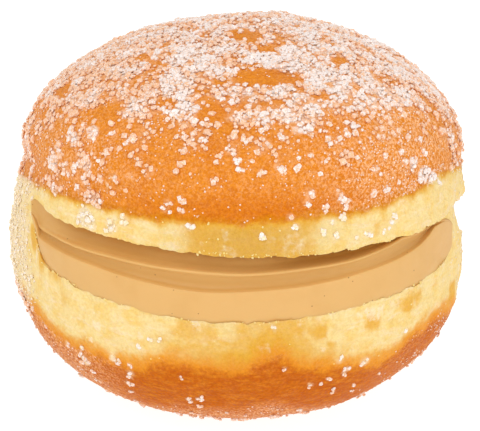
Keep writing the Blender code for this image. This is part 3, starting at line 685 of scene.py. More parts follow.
def marks_at(point, skin):
    """What the finish needs at a point: how far it is from both edges and the skin, its patches, its sugar
    and the painted shade on the ring.
    """
    psi = azimuth(point)
    above, below = edges_at(point)
    mm = point / MM
    mm += 0.9 * noise.noise_vector(mm / 1.8)
    front = point.y < 0.0
    near_ring = front and above < 8.0
    halo = 0.5 * patch_share(HALOS, point / MM, 0.8) if front else 0.0
    # Painted shade on the ring's front: strongest under the lid's overhang above the mouth, weaker below it
    under_lid = hump(psi - 2.0, 22.0) * smooth_step(-above, -0.5, 2.0)
    shade = UPPER_SHADE if point.z > MOUTH_MIDDLE else LOWER_SHADE
    return {
        "above_lid_edge": above,
        "below_base_edge": below,
        "inside": skin.find_nearest(point)[3] / MM,
        "golden": patch_share(GOLDEN_PATCHES, mm, 0.45) if near_ring else 0.0,
        "frosty": patch_share(FROSTY_PATCHES, mm, 0.4) if near_ring else 0.0,
        "sugared": max(halo, sugar_cover(point)),
        "filmed": film_cover(point),
        "browned": hump(psi - RIM_DARKENING_AZIMUTH, RIM_DARKENING_SPREAD),
        "shaded": under_lid * shade if below < 0.0 else 0.0,
    }


def marked(target, skin):
    """Stores those values on each point of the bread."""
    rows = [marks_at(vert.co, skin) for vert in target.data.vertices]
    for key in rows[0]:
        stored = target.data.attributes.new(key, "FLOAT", "POINT")
        stored.data.foreach_set("value", [row[key] for row in rows])


class Finish:
    """A material, built one shader node at a time."""

    def __init__(self, name):
        self.material = bpy.data.materials.new(name)
        self.material.use_nodes = True
        self.tree = self.material.node_tree
        self.shader = self.tree.nodes["Principled BSDF"]
        self.place = self.node("TexCoord").outputs["Object"]

    def node(self, kind, inputs=None, **settings):
        """A node with its settings, whose inputs are numbers or other nodes' outputs."""
        made = self.tree.nodes.new("ShaderNode" + kind)
        for key, value in settings.items():
            setattr(made, key, value)
        for key, value in (inputs or {}).items():
            self.feed(made.inputs[key], value)
        return made

    def feed(self, socket, value):
        """Links an output to a socket, or sets the socket's own value."""
        if isinstance(value, bpy.types.NodeSocket):
            self.tree.links.new(value, socket)
        elif socket.type == "RGBA":
            socket.default_value = (*value, 1.0)
        else:
            socket.default_value = value

    def shine(self, **values):
        """Sets the shader's own sockets."""
        for key, value in values.items():
            self.feed(self.shader.inputs[key.replace("_", " ").title().replace("Ior", "IOR")], value)

    def glow_through(self, weight, depth, tint=None):
        """Lets light scatter this deep under the surface."""
        self.shine(subsurface_weight=weight, subsurface_scale=depth)
        if tint:
            self.shader.inputs["Subsurface Radius"].default_value = tint

    def attribute(self, name):
        """A value stored on the mesh."""
        return self.node("Attribute", attribute_name=name).outputs["Fac"]

    def noise(self, size, detail=2.0, rough=0.5, place=None):
        """Soft noise whose blotches are about this many metres across."""
        inputs = {"Vector": place or self.place, "Scale": 1.0 / size, "Detail": detail, "Roughness": rough}
        return self.node("TexNoise", inputs).outputs["Fac"]

    def cells(self, size, feature="F1", place=None):
        """Distance to the nearest of many scattered points."""
        inputs = {"Vector": place or self.place, "Scale": 1.0 / size}
        return self.node("TexVoronoi", inputs, feature=feature).outputs["Distance"]

    def between(self, value, low, high, to_low=0.0, to_high=1.0):
        """Maps a value smoothly from one range to another."""
        inputs = {"Value": value, "From Min": low, "From Max": high, "To Min": to_low, "To Max": to_high}
        return self.node("MapRange", inputs, interpolation_type="SMOOTHSTEP").outputs["Result"]

    def math(self, operation, first, second=0.0):
        """One sum."""
        made = self.node("Math", operation=operation)
        self.feed(made.inputs[0], first)
        self.feed(made.inputs[1], second)
        return made.outputs[0]

    def mix(self, share, first, second, blend="MIX"):
        """One colour laid over another."""
        made = self.node("Mix", data_type="RGBA", blend_type=blend)
        self.feed(made.inputs[0], share)
        self.feed(made.inputs[6], first)
        self.feed(made.inputs[7], second)
        return made.outputs[2]

    def grey(self, value):
        """A grey of this brightness."""
        return self.node("CombineColor", {"Red": value, "Green": value, "Blue": value}).outputs[0]

    def bump(self, height, distance, below=None):
        """Small relief in the shading, this many metres high."""
        made = self.node("Bump", {"Height": height, "Distance": distance, "Strength": 1.0})
        if below is not None:
            self.feed(made.inputs["Normal"], below)
        return made.outputs["Normal"]


def bread_finish(colours):
    """Crust, pale ring and crumb in one finish, told apart by how far each point is from the edges."""
    made = Finish("sugared_crust_finish")
    above, below, inside = (made.attribute(key) for key in ("above_lid_edge", "below_base_edge", "inside"))
    golden, frosty, browned = (made.attribute(key) for key in ("golden", "frosty", "browned"))
    sugared, filmed = (made.attribute(key) for key in ("sugared", "filmed"))
    blotch = made.noise(8.0 * MM, 3.0)
    patch = made.noise(3.2 * MM, 3.0, 0.6)
    grain = made.noise(0.62 * MM, 2.0, 0.7)
    sand = made.cells(0.62 * MM)
    speckles = made.noise(0.5 * MM, 2.0, 0.7)

    wander = made.math("MULTIPLY", made.math("SUBTRACT", patch, 0.5), 3.2)
    lid_height = made.math("ADD", above, wander)
    base_depth = made.math("ADD", below, made.math("MULTIPLY", wander, 1.6))
    fray = made.math("MULTIPLY", wander, 0.22)
    speckle = made.math("SUBTRACT", made.noise(1.1 * MM, 3.0, 0.7), 0.5)

    # The lid's crust turns darker towards its rim, most at the front
    browned = made.math("MULTIPLY", made.between(lid_height, 8.0, 0.0), browned)
    lid = made.mix(browned, colours.crust, colours.crust_deep)
    lid = made.mix(made.between(blotch, 0.45, 0.7, 0.0, 0.5), lid, colours.crust_deep)
    base = made.mix(made.between(base_depth, -0.8, 2.4), colours.base_amber, colours.base_crust)
    wrinkles = made.node("Mapping", {"Vector": made.place, "Scale": (1.0, 1.0, 3.5)}).outputs[0]
    wrinkled = made.between(made.noise(2.6 * MM, 3.0, 0.65, wrinkles), 0.42, 0.72, 0.0, 0.42)
    base = made.mix(wrinkled, base, colours.base_amber)
    pale = made.mix(made.between(patch, 0.42, 0.68), colours.pale, colours.pale_shade)
    pale = made.mix(made.between(blotch, 0.5, 0.72, 0.0, 0.5), pale, colours.pale_shade)
    slant = {"Vector": made.place, "Rotation": (0.0, 0.5, 0.0), "Scale": (0.5, 0.5, 1.5)}
    streaks = made.noise(2.2 * MM, 4.0, 0.65, made.node("Mapping", slant).outputs[0])
    pale = made.mix(made.between(streaks, 0.5, 0.68, 0.0, 0.6), pale, colours.frost)
    pale = made.mix(made.between(streaks, 0.46, 0.32, 0.0, 0.6), pale, colours.pale_shade)
    pale = made.mix(made.between(made.math("ADD", golden, fray), 0.1, 0.9, 0.0, 0.85), pale, colours.golden)

    skin = made.mix(made.between(lid_height, -1.8, -0.2, 0.0, 0.9), pale, colours.golden)
    skin = made.mix(made.between(lid_height, -0.9, 0.4), skin, colours.amber)
    skin = made.mix(made.between(lid_height, 0.0, 1.9), skin, lid)
    # The stored painted shade serves here only to find the front, where the golden band above the base's
    # crust is wider
    wide = made.math("MINIMUM", 1.0, made.math("MULTIPLY", made.attribute("shaded"), 16.0))
    wide = made.math("MULTIPLY", wide, made.between(base_depth, -7.6, -3.2, 0.0, 1.0))
    narrow = made.between(base_depth, -3.8, -1.2, 0.0, 0.65)
    skin = made.mix(made.math("MAXIMUM", wide, narrow), skin, colours.golden)
    skin = made.mix(made.between(base_depth, -4.2, 0.0), skin, base)
    frost = made.math("ADD", made.math("MULTIPLY", frosty, 0.8), made.math("MULTIPLY", speckle, 2.2))
    frost = made.between(made.math("MULTIPLY", frost, frosty), 0.05, 0.6, 0.0, 0.85)
    skin = made.mix(frost, skin, colours.frost)
    skin = made.mix(made.between(inside, 0.3, 1.2), skin, colours.crumb)

    dust = made.between(speckles, 0.44, 0.60, 0.1, 1.25)
    dust = made.math("ADD", dust, made.math("MULTIPLY", speckle, 1.5))
    dust = made.math("MULTIPLY", dust, made.math("ADD", filmed, made.math("MULTIPLY", fray, 0.4)))
    skin = made.mix(dust, skin, colours.film)
    sugared = made.math("MULTIPLY", sugared, made.math("ADD", 1.0, fray))
    thick = made.mix(made.between(sugared, 0.35, 0.9, 0.0, 0.8), colours.sugar_clear, colours.sugar)
    thick = made.mix(made.between(lid_height, -0.5, 0.8), colours.frost, thick)
    skin = made.mix(made.between(sugared, 0.06, 0.68, 0.0, 0.87), skin, thick)
    # Painted shade: the ring's front is darkened under the lid
    grey = made.grey(made.math("SUBTRACT", 1.0, made.attribute("shaded")))
    crusty = made.math("MAXIMUM", made.between(lid_height, -0.5, 1.0), made.between(base_depth, -1.0, 1.0))
    shade = made.mix(made.between(grain, 0.3, 0.7), (0.86, 0.75, 0.58), (1.07, 1.09, 1.12))
    shade = made.mix(made.between(crusty, 0.0, 1.0, 0.35, 1.0), (1.0, 1.0, 1.0), shade)
    skin = made.mix(1.0, made.mix(1.0, skin, shade, "MULTIPLY"), grey, "MULTIPLY")
    made.shine(base_color=skin, roughness=made.between(grain, 0.3, 0.7, 0.42, 0.66), specular_ior_level=0.05)
    made.glow_through(0.06, 2.0 * MM, (1.0, 0.5, 0.25))
    low = made.bump(made.noise(2.2 * MM, 3.0, 0.55), 0.35 * MM)
    grit = made.math("SUBTRACT", grain, made.math("MULTIPLY", sand, 0.7))
    made.shine(normal=made.bump(grit, 0.16 * MM, low))
    return made.material


def cream_finish(colours):
    """Smooth satin caramel with a few tiny specks, darkened in its recesses and under the lid by painted
    shade.
    """
    made = Finish("caramel_cream_finish")
    # Painted shade stored on each point: darker caramel in the recesses and under the lid
    depth = made.attribute("hollow")
    blotch = made.noise(6.0 * MM, 2.0)
    fine = made.noise(0.8 * MM, 2.0)
    cream = made.mix(depth, colours.cream, colours.cream_deep)
    cream = made.mix(made.between(blotch, 0.4, 0.75, 0.0, 0.18), cream, colours.cream_deep)
    specks = made.between(made.cells(2.6 * MM), 0.075, 0.045)
    cream = made.mix(made.math("MULTIPLY", specks, 0.75), cream, colours.speck)
    made.shine(base_color=cream, roughness=made.between(fine, 0.3, 0.7, 0.36, 0.48), specular_ior_level=0.25)
    made.glow_through(0.15, 3.0 * MM, (1.0, 0.6, 0.3))
    made.shine(normal=made.bump(fine, 0.03 * MM, made.bump(made.noise(2.5 * MM, 2.0), 0.12 * MM)))
    return made.material


def sugar_finish(name, colours, rough):
    """Glinting crystals: white where thick, taking the colour of what they lie on where clear."""
    made = Finish(name)
    clear, ring, tone = (made.attribute(key) for key in ("clear", "on_ring", "tone"))
    through = made.mix(ring, colours.sugar_clear, colours.sugar_ring)
    cloudy = made.between(made.noise(0.42 * MM, 2.0, 0.7), 0.38, 0.62, -0.5, 0.5)
    body = made.mix(made.math("ADD", clear, cloudy), colours.sugar, through)
    body = made.mix(1.0, body, made.grey(tone), "MULTIPLY")
    made.shine(base_color=body, roughness=rough, specular_ior_level=0.5)
    made.glow_through(0.15, 0.4 * MM, (1.0, 0.9, 0.8))
    made.shine(normal=made.bump(made.noise(0.3 * MM, 1.0), 0.03 * MM))
    return made.material


def crumb_finish(colours):
    """Soft torn crumb."""
    made = Finish("torn_crumb_finish")
    patch = made.noise(0.8 * MM, 2.0)
    body = made.mix(made.between(patch, 0.35, 0.65), colours.pale, colours.pale_shade)
    made.shine(base_color=body, roughness=0.6, specular_ior_level=0.3)
    made.glow_through(0.1, 1.0 * MM)
    made.shine(normal=made.bump(made.noise(0.3 * MM, 2.0), 0.06 * MM))
    return made.material


def finished(target, finish, replaced=None, sharpest=None):
    """Gives a piece its finish, its shading, its body and its place among the solids."""
    target.data.materials.clear()
    target.data.materials.append(finish)
    if sharpest:
        target.data.shade_smooth()
        target.data.set_sharp_from_angle(angle=math.radians(sharpest))
    else:
        target.data.shade_flat()
    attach(target, "root")
    if replaced:
        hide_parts(replaced)


def cream_rows(mouth, cream, place):
    """Keys of the cream's front, upwards: share of the height, how far in (millimetres), and painted shade
    (how far the colour goes towards deep caramel).
    """
    psi = mouth_azimuth(mouth, place)
    base_face, lid_face = slit_heights(mouth, place, 0.0)
    low = base_face + cream.gap
    span = lid_face - cream.gap - low
    lower = cream.lower_line + along(LOWER_LINE, psi) * MM
    upper = cream.upper_line + along(UPPER_LINE, psi) * MM
    first = min(0.93, max(0.2, (lower - low) / span))
    second = min(0.97, max(first + 0.035, (upper - low) / span))
    third = (first + second) / 2.0
    recess = min(1.0, (1.0 - second) / 0.22) * (0.12 + 0.88 * smooth_step(psi, -60.0, -40.0))
    recess *= (1.0 - smooth_step(psi, 50.0, 60.0)) * (0.8 + 0.2 * smooth_step(psi, 5.0, 25.0))
    flush = 1.0 - 0.95 * smooth_step(psi, 53.0, 63.0)
    step = min(0.022, (second - first) / 6.0)
    edge = min(0.03, (second - first) / 4.0)
    # Painted shade of the top band under the lid, deepest right of the middle; mid is the painted shade of
    # the middle band
    dark = 0.15 + 0.35 * smooth_step(-psi, 10.0, 35.0) + 0.85 * smooth_step(psi, 2.0, 22.0)
    mid = 1.0 - 0.5 * smooth_step(psi, 10.0, 35.0)
    over = min(0.03, (1.0 - second) / 4.0)
    lowest = (
        (0.0, 0.1, 0.15), (0.08 * first, -0.02, 0.0), (0.3 * first, -0.05, 0.0), (0.65 * first, 0.0, 0.0),
        (first - 0.04, 0.1, 0.0), (first - 0.012, 0.25, 0.0), (first, 0.6, 0.25),
    )
    middle = (
        (first + step, 1.2, 0.68 * mid), (third - 0.4 * (third - first), 1.75, 0.68 * mid),
        (third, 1.8, 0.6 * mid), (third + 0.5 * (second - third), 1.65, 0.5 * mid),
        (second - edge, 1.3, 0.05), (second - edge / 4.0, 1.4, 0.0),
    )
    highest = (
        (second + edge / 4.0, 1.55 + 0.3 * recess, 0.0), (second + over, 1.7 + 1.4 * recess, 0.5 * dark),
        ((second * 2.0 + 1.0) / 3.0, 1.75 + 2.8 * recess, dark),
        ((second + 2.0) / 3.0, 1.75 + 3.8 * recess, dark), (1.0, 1.75 + 5.0 * recess, dark),
    )
    return [(share, inset * flush, tone) for share, inset, tone in (*lowest, *middle, *highest)]


def between_keys(keys, steps):
    """A smooth curve through keys, with this many steps from one to the next."""
    padded = (keys[0], *keys, keys[-1])
    rows = []
    for before, start, end, after in zip(padded, padded[1:], padded[2:], padded[3:]):
        for step in range(steps):
            t = step / steps
            share = start[0] + (end[0] - start[0]) * t
            bend = (2.0 * start[1] + (end[1] - before[1]) * t
                    + (2.0 * before[1] - 5.0 * start[1] + 4.0 * end[1] - after[1]) * t * t
                    + (3.0 * start[1] - before[1] - 3.0 * end[1] + after[1]) * t * t * t) / 2.0
            rows.append((share, bend, start[2] + (end[2] - start[2]) * t))
    rows.append(keys[-1])
    return rows


def cream_section(bun, mouth, cream, place):
    """The cream's outline at one place, as points with their painted shade: the bands, then the back."""
    length = (pocket_plan(bun, mouth, place, 1.0) - pocket_plan(bun, mouth, place, 0.0)).length
    stepped = 1.0 - abs(place) ** 20
    level = 0.2 - 0.5 * smooth_step(place, 0.8, 0.96)
    gap = cream.gap
    psi = mouth_azimuth(mouth, place)
    pressed = notch_depth(bun, mouth, psi, -1) * (1.0 - smooth_step(abs(place), 0.86, 0.95))
    run = math.radians(psi) * bun.base_radius
    outline = []
    for share, inset, tone in between_keys(cream_rows(mouth, cream, place), 3):
        depth = (level + (inset - level) * stepped) * MM / length
        base_face, lid_face = slit_heights(mouth, place, depth)
        height = base_face + gap + share * (lid_face - base_face - 2.0 * gap)
        height -= pressed * (1.0 - smooth_step(depth, 0.0, 0.12)) * (1.0 - smooth_step(share, 0.0, 0.12))
        soft = noise.noise(Vector((run / (9.0 * MM), height / (2.6 * MM), 3.0)))
        streak = noise.noise(Vector((run / (3.5 * MM), height / (0.7 * MM), 9.0)))
        nick = max(0.0, noise.noise(Vector((run / (1.6 * MM), height / (1.2 * MM), 5.0))) - 0.35)
        wave = cream.wave * (soft + 0.3 * streak + 1.2 * nick) * (1.0 - share ** 4)
        plan = pocket_plan(bun, mouth, place, depth + wave * stepped / length)
        outline.append((Vector((plan.x, plan.y, height)), tone))
    back = 1.0 - 1.2 * MM / length
    base_face, lid_face = slit_heights(mouth, place, back)
    plan = pocket_plan(bun, mouth, place, back)
    outline.append((Vector((plan.x, plan.y, lid_face - gap)), 1.0))
    outline.append((Vector((plan.x, plan.y, base_face + gap)), 1.0))
    return outline


class Skin:
    """The uncut bun's surface, for placing sugar on it."""

    def __init__(self, form, seed):
        mesh = bpy.data.meshes.new("uncut_skin")
        form.to_mesh(mesh)
        mesh.calc_loop_triangles()
        places = np.empty(len(mesh.vertices) * 3)
        mesh.vertices.foreach_get("co", places)
        corners = np.empty(len(mesh.loop_triangles) * 3, int)
        mesh.loop_triangles.foreach_get("vertices", corners)
        normals = np.empty(len(mesh.vertices) * 3)
        mesh.vertices.foreach_get("normal", normals)
        bpy.data.meshes.remove(mesh)
        self.corners = corners.reshape(-1, 3)
        self.places = places.reshape(-1, 3)
        self.normals = normals.reshape(-1, 3)
        sides = self.places[self.corners]
        areas = np.linalg.norm(np.cross(sides[:, 1] - sides[:, 0], sides[:, 2] - sides[:, 0]), axis=1)
        self.odds = areas / areas.sum()
        self.draw = np.random.default_rng(seed)

    def points(self, count):
        """Random places on the skin and the directions outwards there."""
        picked = self.corners[self.draw.choice(len(self.corners), size=count, p=self.odds)]
        weights = self.draw.dirichlet((1.0, 1.0, 1.0), size=count)[:, :, None]
        places = (self.places[picked] * weights).sum(axis=1)
        normals = (self.normals[picked] * weights).sum(axis=1)
        normals /= np.linalg.norm(normals, axis=1)[:, None]
        return [(Vector(place), Vector(normal)) for place, normal in zip(places, normals)]


class Spread:
    """Places taken so far, so that crystals don't pile up in one spot."""

    def __init__(self, cell):
        self.cell = cell
        self.taken = {}

    def free(self, point, distance):
        """Whether nothing is nearer than this, in which case the place is taken."""
        key = tuple(math.floor(axis / self.cell) for axis in point)
        for shift in np.ndindex(3, 3, 3):
            near = self.taken.get((key[0] + shift[0] - 1, key[1] + shift[1] - 1, key[2] + shift[2] - 1), ())
            if any((point - other).length < distance for other in near):
                return False
        self.taken.setdefault(key, []).append(point)
        return True


def patch_share(patches, point, soft):
    """How strongly the nearest of some patches holds at a point, in millimetres."""
    found = 0.0
    for x, y, z, radius, strength in patches:
        distance = math.sqrt((point.x - x) ** 2 + (point.y - y) ** 2 + (point.z - z) ** 2)
        inner, outer = radius * (1.0 - soft), radius * (1.0 + soft)
        if distance < outer:
            found = max(found, strength * (1.0 - smooth_step(distance, inner, outer)))
    return found


def left_sugar(point):
    """How thickly the left end of the ring is sugared, with a ragged border."""
    ragged = azimuth(point) + 7.0 * noise.noise(point / (5.0 * MM)) + 4.0 * noise.noise(point / (1.6 * MM))
    thick = 0.8 + 0.4 * noise.noise(point / (3.7 * MM))
    thick *= 1.0 - patch_share(GOLDEN_PATCHES, point / MM, 0.4)
    return left_side(ragged) * smooth_step(-ragged, 60.0, 67.0) * thick


def sugar_cover(point):
    """How thickly the skin is sugared at a point: 1 is covered and 0 bare."""
    psi = azimuth(point)
    above, below = edges_at(point)
    mm = point / MM
    mm += 1.1 * noise.noise_vector(mm / 3.1) + 0.4 * noise.noise_vector(mm / 1.1)
    clump = smooth_step(noise.noise(point / (4.2 * MM)), -0.35, 0.3)
    if above > 0.0:
        line = 66.5 - 6.0 * smooth_step(abs(psi), 45.0, 80.0) - 4.0 * smooth_step(abs(psi), 90.0, 130.0)
        cover = (0.35 + 0.5 * clump) * smooth_step(mm.z, line - 2.0, line + 2.5)
        sides = max(smooth_step(abs(psi), 52.0, 75.0), 0.5 * smooth_step(-psi, 22.0, 40.0))
        cover = max(cover, 0.34 * sides * clump, 0.26 * clump * smooth_step(mm.z, 57.0, 64.0))
        cover *= 1.0 - patch_share(BARE_PATCHES, mm, 0.3)
        plates = smooth_step(abs(noise.noise(point / (4.4 * MM))), 0.02, 0.12)
        return (0.25 + 0.75 * plates) * max(cover, patch_share(DENSE_PATCHES, mm, 0.25))
    cover = patch_share(DENSE_PATCHES, mm, 0.25)
    if below > 0.0:
        limb = smooth_step(below, 12.0, 16.5)
        limb += smooth_step(abs(psi), 55.0, 80.0) * smooth_step(below, 2.0, 8.0)
        left = 0.9 * left_sugar(point) * (1.0 - smooth_step(below, 0.0, 3.0)) if psi < 0.0 else 0.0
        return max(cover, 0.05 * min(1.0, limb) * clump, left)
    behind = smooth_step(abs(psi), 72.0, 110.0) * 0.25 * clump
    return max(cover, 0.9 * left_sugar(point), behind)


def dust_cover(point):
    """How thick the fine sugar is at a point of the skin."""
    psi = azimuth(point)
    above, below = edges_at(point)
    clump = smooth_step(noise.noise(point / (3.1 * MM)), -0.3, 0.4)
    if above > 0.0:
        filmed = max(0.8 * film_cover(point), 0.35 * smooth_step(above, 8.0, 15.0))
        return clump * filmed * (1.0 - 0.8 * patch_share(BARE_PATCHES, point / MM, 0.3))
    sugared = left_sugar(point) * (1.0 - smooth_step(below, 0.0, 4.0)) if psi < 0.0 else 0.0
    if below > 0.0:
        spread = 0.3 * clump * min(1.0, smooth_step(below, 10.0, 15.0) + smooth_step(abs(psi), 35.0, 60.0))
        return max(spread, sugared)
    return max(0.35 * clump * smooth_step(abs(psi), 62.0, 80.0), sugared)


def on_ring(point):
    """Whether a point is on the pale ring."""
    return max(edges_at(point)) < 0.0


def clearness(point, cover):
    """How much the sugar takes the colour of what it lies on: more where it is thin and at the left."""
    if edges_at(point)[0] < 0.0:
        return 0.75
    left = smooth_step(-point.x, 8.0 * MM, 30.0 * MM)
    ridge = patch_share(((9.5, -16.0, 72.0, 7.0, 1.0), (17.0, -21.5, 70.4, 5.0, 1.0)), point / MM, 0.5)
    thin = 0.8 * (1.0 - min(1.0, cover / 0.8))
    return 0.1 + thin + 0.5 * left - 0.2 * ridge + 0.8 * noise.noise(point / (3.0 * MM))


def film_cover(point):
    """How strong the thin film of sugar dust is that tints the skin."""
    psi = azimuth(point)
    above, below = edges_at(point)
    if above > 0.0:
        film = 0.05 + 0.17 * smooth_step(above, 2.0, 7.0)
        film += 0.64 * smooth_step(psi, 6.0, 46.0) + 0.33 * smooth_step(-psi, 18.0, 50.0)
        return film * (1.0 - 0.6 * patch_share(BARE_PATCHES, point / MM, 0.3))
    if below > 0.0:
        sides = 0.15 * smooth_step(psi, 25.0, 50.0) + 0.6 * smooth_step(-psi, 25.0, 50.0)
        return 0.01 + sides + 0.72 * smooth_step(below, 9.5, 15.0)
    return 0.08


def crystal_shapes(name, count, finish, draw, blocky):
    """A few differently shaped crystals, one unit long, in a collection of their own."""
    shapes = bpy.data.collections.new(name + "_shapes")
    bpy.context.scene.collection.children.link(shapes)
    for index in range(count):
        form = bmesh.new()
        if blocky == "coarse":
            bmesh.ops.create_cube(form, size=0.86)
            bmesh.ops.bevel(form, geom=form.verts, offset=50.0, offset_type="PERCENT", segments=1,
                            profile=0.5, affect="VERTICES", material=-1, clamp_overlap=True)
            bmesh.ops.remove_doubles(form, verts=form.verts, dist=0.01)
        elif blocky == "medium":
            bmesh.ops.create_icosphere(form, subdivisions=1, radius=0.5)
        else:
            bmesh.ops.create_uvsphere(form, u_segments=4, v_segments=2, radius=0.5)
        for vert in form.verts:
            vert.co *= draw.uniform(0.84, 1.14)
        flatter = (1.0, draw.uniform(0.74, 1.0), draw.uniform(0.42, 0.62))
        bmesh.ops.scale(form, vec=flatter, verts=form.verts)
        bmesh.ops.recalc_face_normals(form, faces=form.faces)
        mesh = bpy.data.meshes.new(f"{name}_shape_{index}")
        form.to_mesh(mesh)
        form.free()
        mesh.materials.append(finish)
        shapes.objects.link(bpy.data.objects.new(mesh.name, mesh))
    return shapes


def made_real(name, grains, shapes):
    """One mesh of all the grains: a shape put on each point by geometry nodes, then made real."""
    form = bmesh.new()
    for grain in grains:
        form.verts.new(grain["place"])
    cloud = new_object(form, name)
    for key, kind in (("turn", "FLOAT_VECTOR"), ("size", "FLOAT"), ("clear", "FLOAT"), ("on_ring", "FLOAT"),
                      ("tone", "FLOAT")):
        listed = np.array([grain[key] for grain in grains]).ravel()
        field = "vector" if kind == "FLOAT_VECTOR" else "value"
        cloud.data.attributes.new(key, kind, "POINT").data.foreach_set(field, listed)
    tree = bpy.data.node_groups.new(name, "GeometryNodeTree")
    tree.interface.new_socket("Points", in_out="INPUT", socket_type="NodeSocketGeometry")
    tree.interface.new_socket("Grains", in_out="OUTPUT", socket_type="NodeSocketGeometry")

    def node(kind, **settings):
        made = tree.nodes.new(kind)
        for key, value in settings.items():
            setattr(made, key, value)
        return made

    points, out = node("NodeGroupInput"), node("NodeGroupOutput")
    picked = node("GeometryNodeCollectionInfo")
    picked.inputs["Collection"].default_value = shapes
    picked.inputs["Separate Children"].default_value = True
    picked.inputs["Reset Children"].default_value = True
    turn = node("GeometryNodeInputNamedAttribute", data_type="FLOAT_VECTOR")
    turn.inputs["Name"].default_value = "turn"
    size = node("GeometryNodeInputNamedAttribute", data_type="FLOAT")
    size.inputs["Name"].default_value = "size"
    put = node("GeometryNodeInstanceOnPoints")
    put.inputs["Pick Instance"].default_value = True
    real = node("GeometryNodeRealizeInstances")
    links = (
        (points.outputs[0], put.inputs["Points"]), (picked.outputs[0], put.inputs["Instance"]),
        (turn.outputs["Attribute"], put.inputs["Rotation"]), (size.outputs["Attribute"], put.inputs["Scale"]),
        (put.outputs[0], real.inputs[0]), (real.outputs[0], out.inputs[0]),
    )
    for source, target in links:
        tree.links.new(source, target)
    cloud.modifiers.new("grains", "NODES").node_group = tree
    made = applied(cloud, name)
    bpy.data.node_groups.remove(tree)
    for shape in list(shapes.objects):
        bpy.data.objects.remove(shape)
    bpy.data.collections.remove(shapes)
    return made


def grain_at(place, outwards, size, sunk, clear, draw):
    """One grain's place, turn and look: it lies on its flatter side, a little tilted."""
    above, below = edges_at(place)
    lean = draw.normal(0.0, CRYSTAL_TILT), draw.normal(0.0, CRYSTAL_TILT)
    tilt = Euler((*lean, draw.uniform(0.0, math.tau)))
    turn = outwards.to_track_quat("Z", "Y") @ tilt.to_quaternion()
    return {
        "place": place + outwards * size * (CRYSTAL_STAND - sunk),
        "turn": tuple(turn.to_euler()),
        "size": size,
        "clear": clear,
        "on_ring": smooth_step(-above, -0.5, 1.0) * smooth_step(-below, -0.5, 1.5),
        "tone": draw.uniform(0.93, 1.0),
    }


def over_mouth(mouth, point, room):
    """Whether a grain at this point would hang over the slit."""
    psi = azimuth(point)
    if not math.degrees(mouth.left_end) - 1.0 < psi < math.degrees(mouth.right_end) + 1.0:
        return False
    return lower_lip(mouth, psi) - room < point.z < upper_lip(mouth, psi) + room


class Scatter:
    """Chooses a place, a size and a look for every crystal and crumb on the skin."""

    def __init__(self, form, mouth, sugar):
        self.mouth = mouth
        self.skin = Skin(form, sugar.seed)
        self.tree = BVHTree.FromBMesh(form)
        form.free()
        self.draw = np.random.default_rng(sugar.seed + 1)
        self.large = Spread(1.0 * MM)
        self.small = Spread(0.5 * MM)

    def lone(self, longest):
        """The clumps of coarse crystals that lie apart."""
        draw, grains = self.draw, []
        for x, y, z, radius in LONE_CLUMPS:
            for _ in range(1 + round(3.0 * radius)):
                aim = Vector((x, y, z)) * MM + Vector(draw.normal(0.0, 0.4 * radius * MM, 3))
                place, outwards, _, _ = self.tree.find_nearest(aim)
                size = longest * draw.uniform(0.55, 0.95) * (1.0 if z > LOW_CLUMPS_TO else 0.8)
                if self.large.free(place, 0.35 * size) and not over_mouth(self.mouth, place, 0.2 * MM):
                    sunk, clear = draw.uniform(-0.05, 0.12), draw.uniform(0.15, 0.85)
                    grains.append(grain_at(place, outwards, size, sunk, clear, draw))
        return grains

    def graded(self, grains, grade, longest, most):
        """Adds crystals of one grade wherever the sugar is thick enough."""
        draw = self.draw
        for place, outwards in self.skin.points(grade.tries):
            cover = sugar_cover(place)
            size = longest * draw.uniform(*grade.sizes)
            luck = draw.random()
            if on_ring(place):
                size *= 0.7
                cover *= grade.ring_share
            if len(grains) >= most or luck > grade.share * cover ** grade.power:
                continue
            if place.z < grade.off_floor or over_mouth(self.mouth, place, grade.off_mouth):
                continue
            if not self.large.free(place, 0.5 * size):
                continue
            clear = clearness(place, cover) + draw.uniform(*grade.clear)
            sunk = draw.uniform(*grade.sunk)
            grains.append(grain_at(place, outwards, size, sunk, min(1.0, max(0.0, clear)), draw))
        return grains

    def dusted(self, longest, most):
        """Fine crystals wherever dust or sugar lies."""
        draw, grains = self.draw, []
        for place, outwards in self.skin.points(FINE_TRIES):
            size = longest * draw.uniform(0.7, 1.3)
            luck = draw.random()
            if len(grains) >= most or luck > max(dust_cover(place), 0.5 * sugar_cover(place)):
                continue
            if place.z < 0.5 * MM or over_mouth(self.mouth, place, 0.0):
                continue
            if self.small.free(place, 0.75 * size):
                grains.append(grain_at(place, outwards, size, 0.05, draw.uniform(0.5, 1.0), draw))
        return grains

    def torn(self, longest, most):
        """Crumbs along the lips, and a few on the rest of the ring."""
        draw, grains = self.draw, []
        for place, outwards in self.skin.points(CRUMB_TRIES):
            luck = draw.random()
            size = longest * draw.uniform(0.5, 1.25)
            if not on_ring(place) or len(grains) >= most:
                continue
            near_lip = over_mouth(self.mouth, place, 1.0 * MM)
            if luck > (0.8 if near_lip else 0.03) or over_mouth(self.mouth, place, 0.1 * MM):
                continue
            if self.small.free(place, 0.4 * size):
                grains.append(grain_at(place, outwards, size, 0.28, 0.0, draw))
        return grains


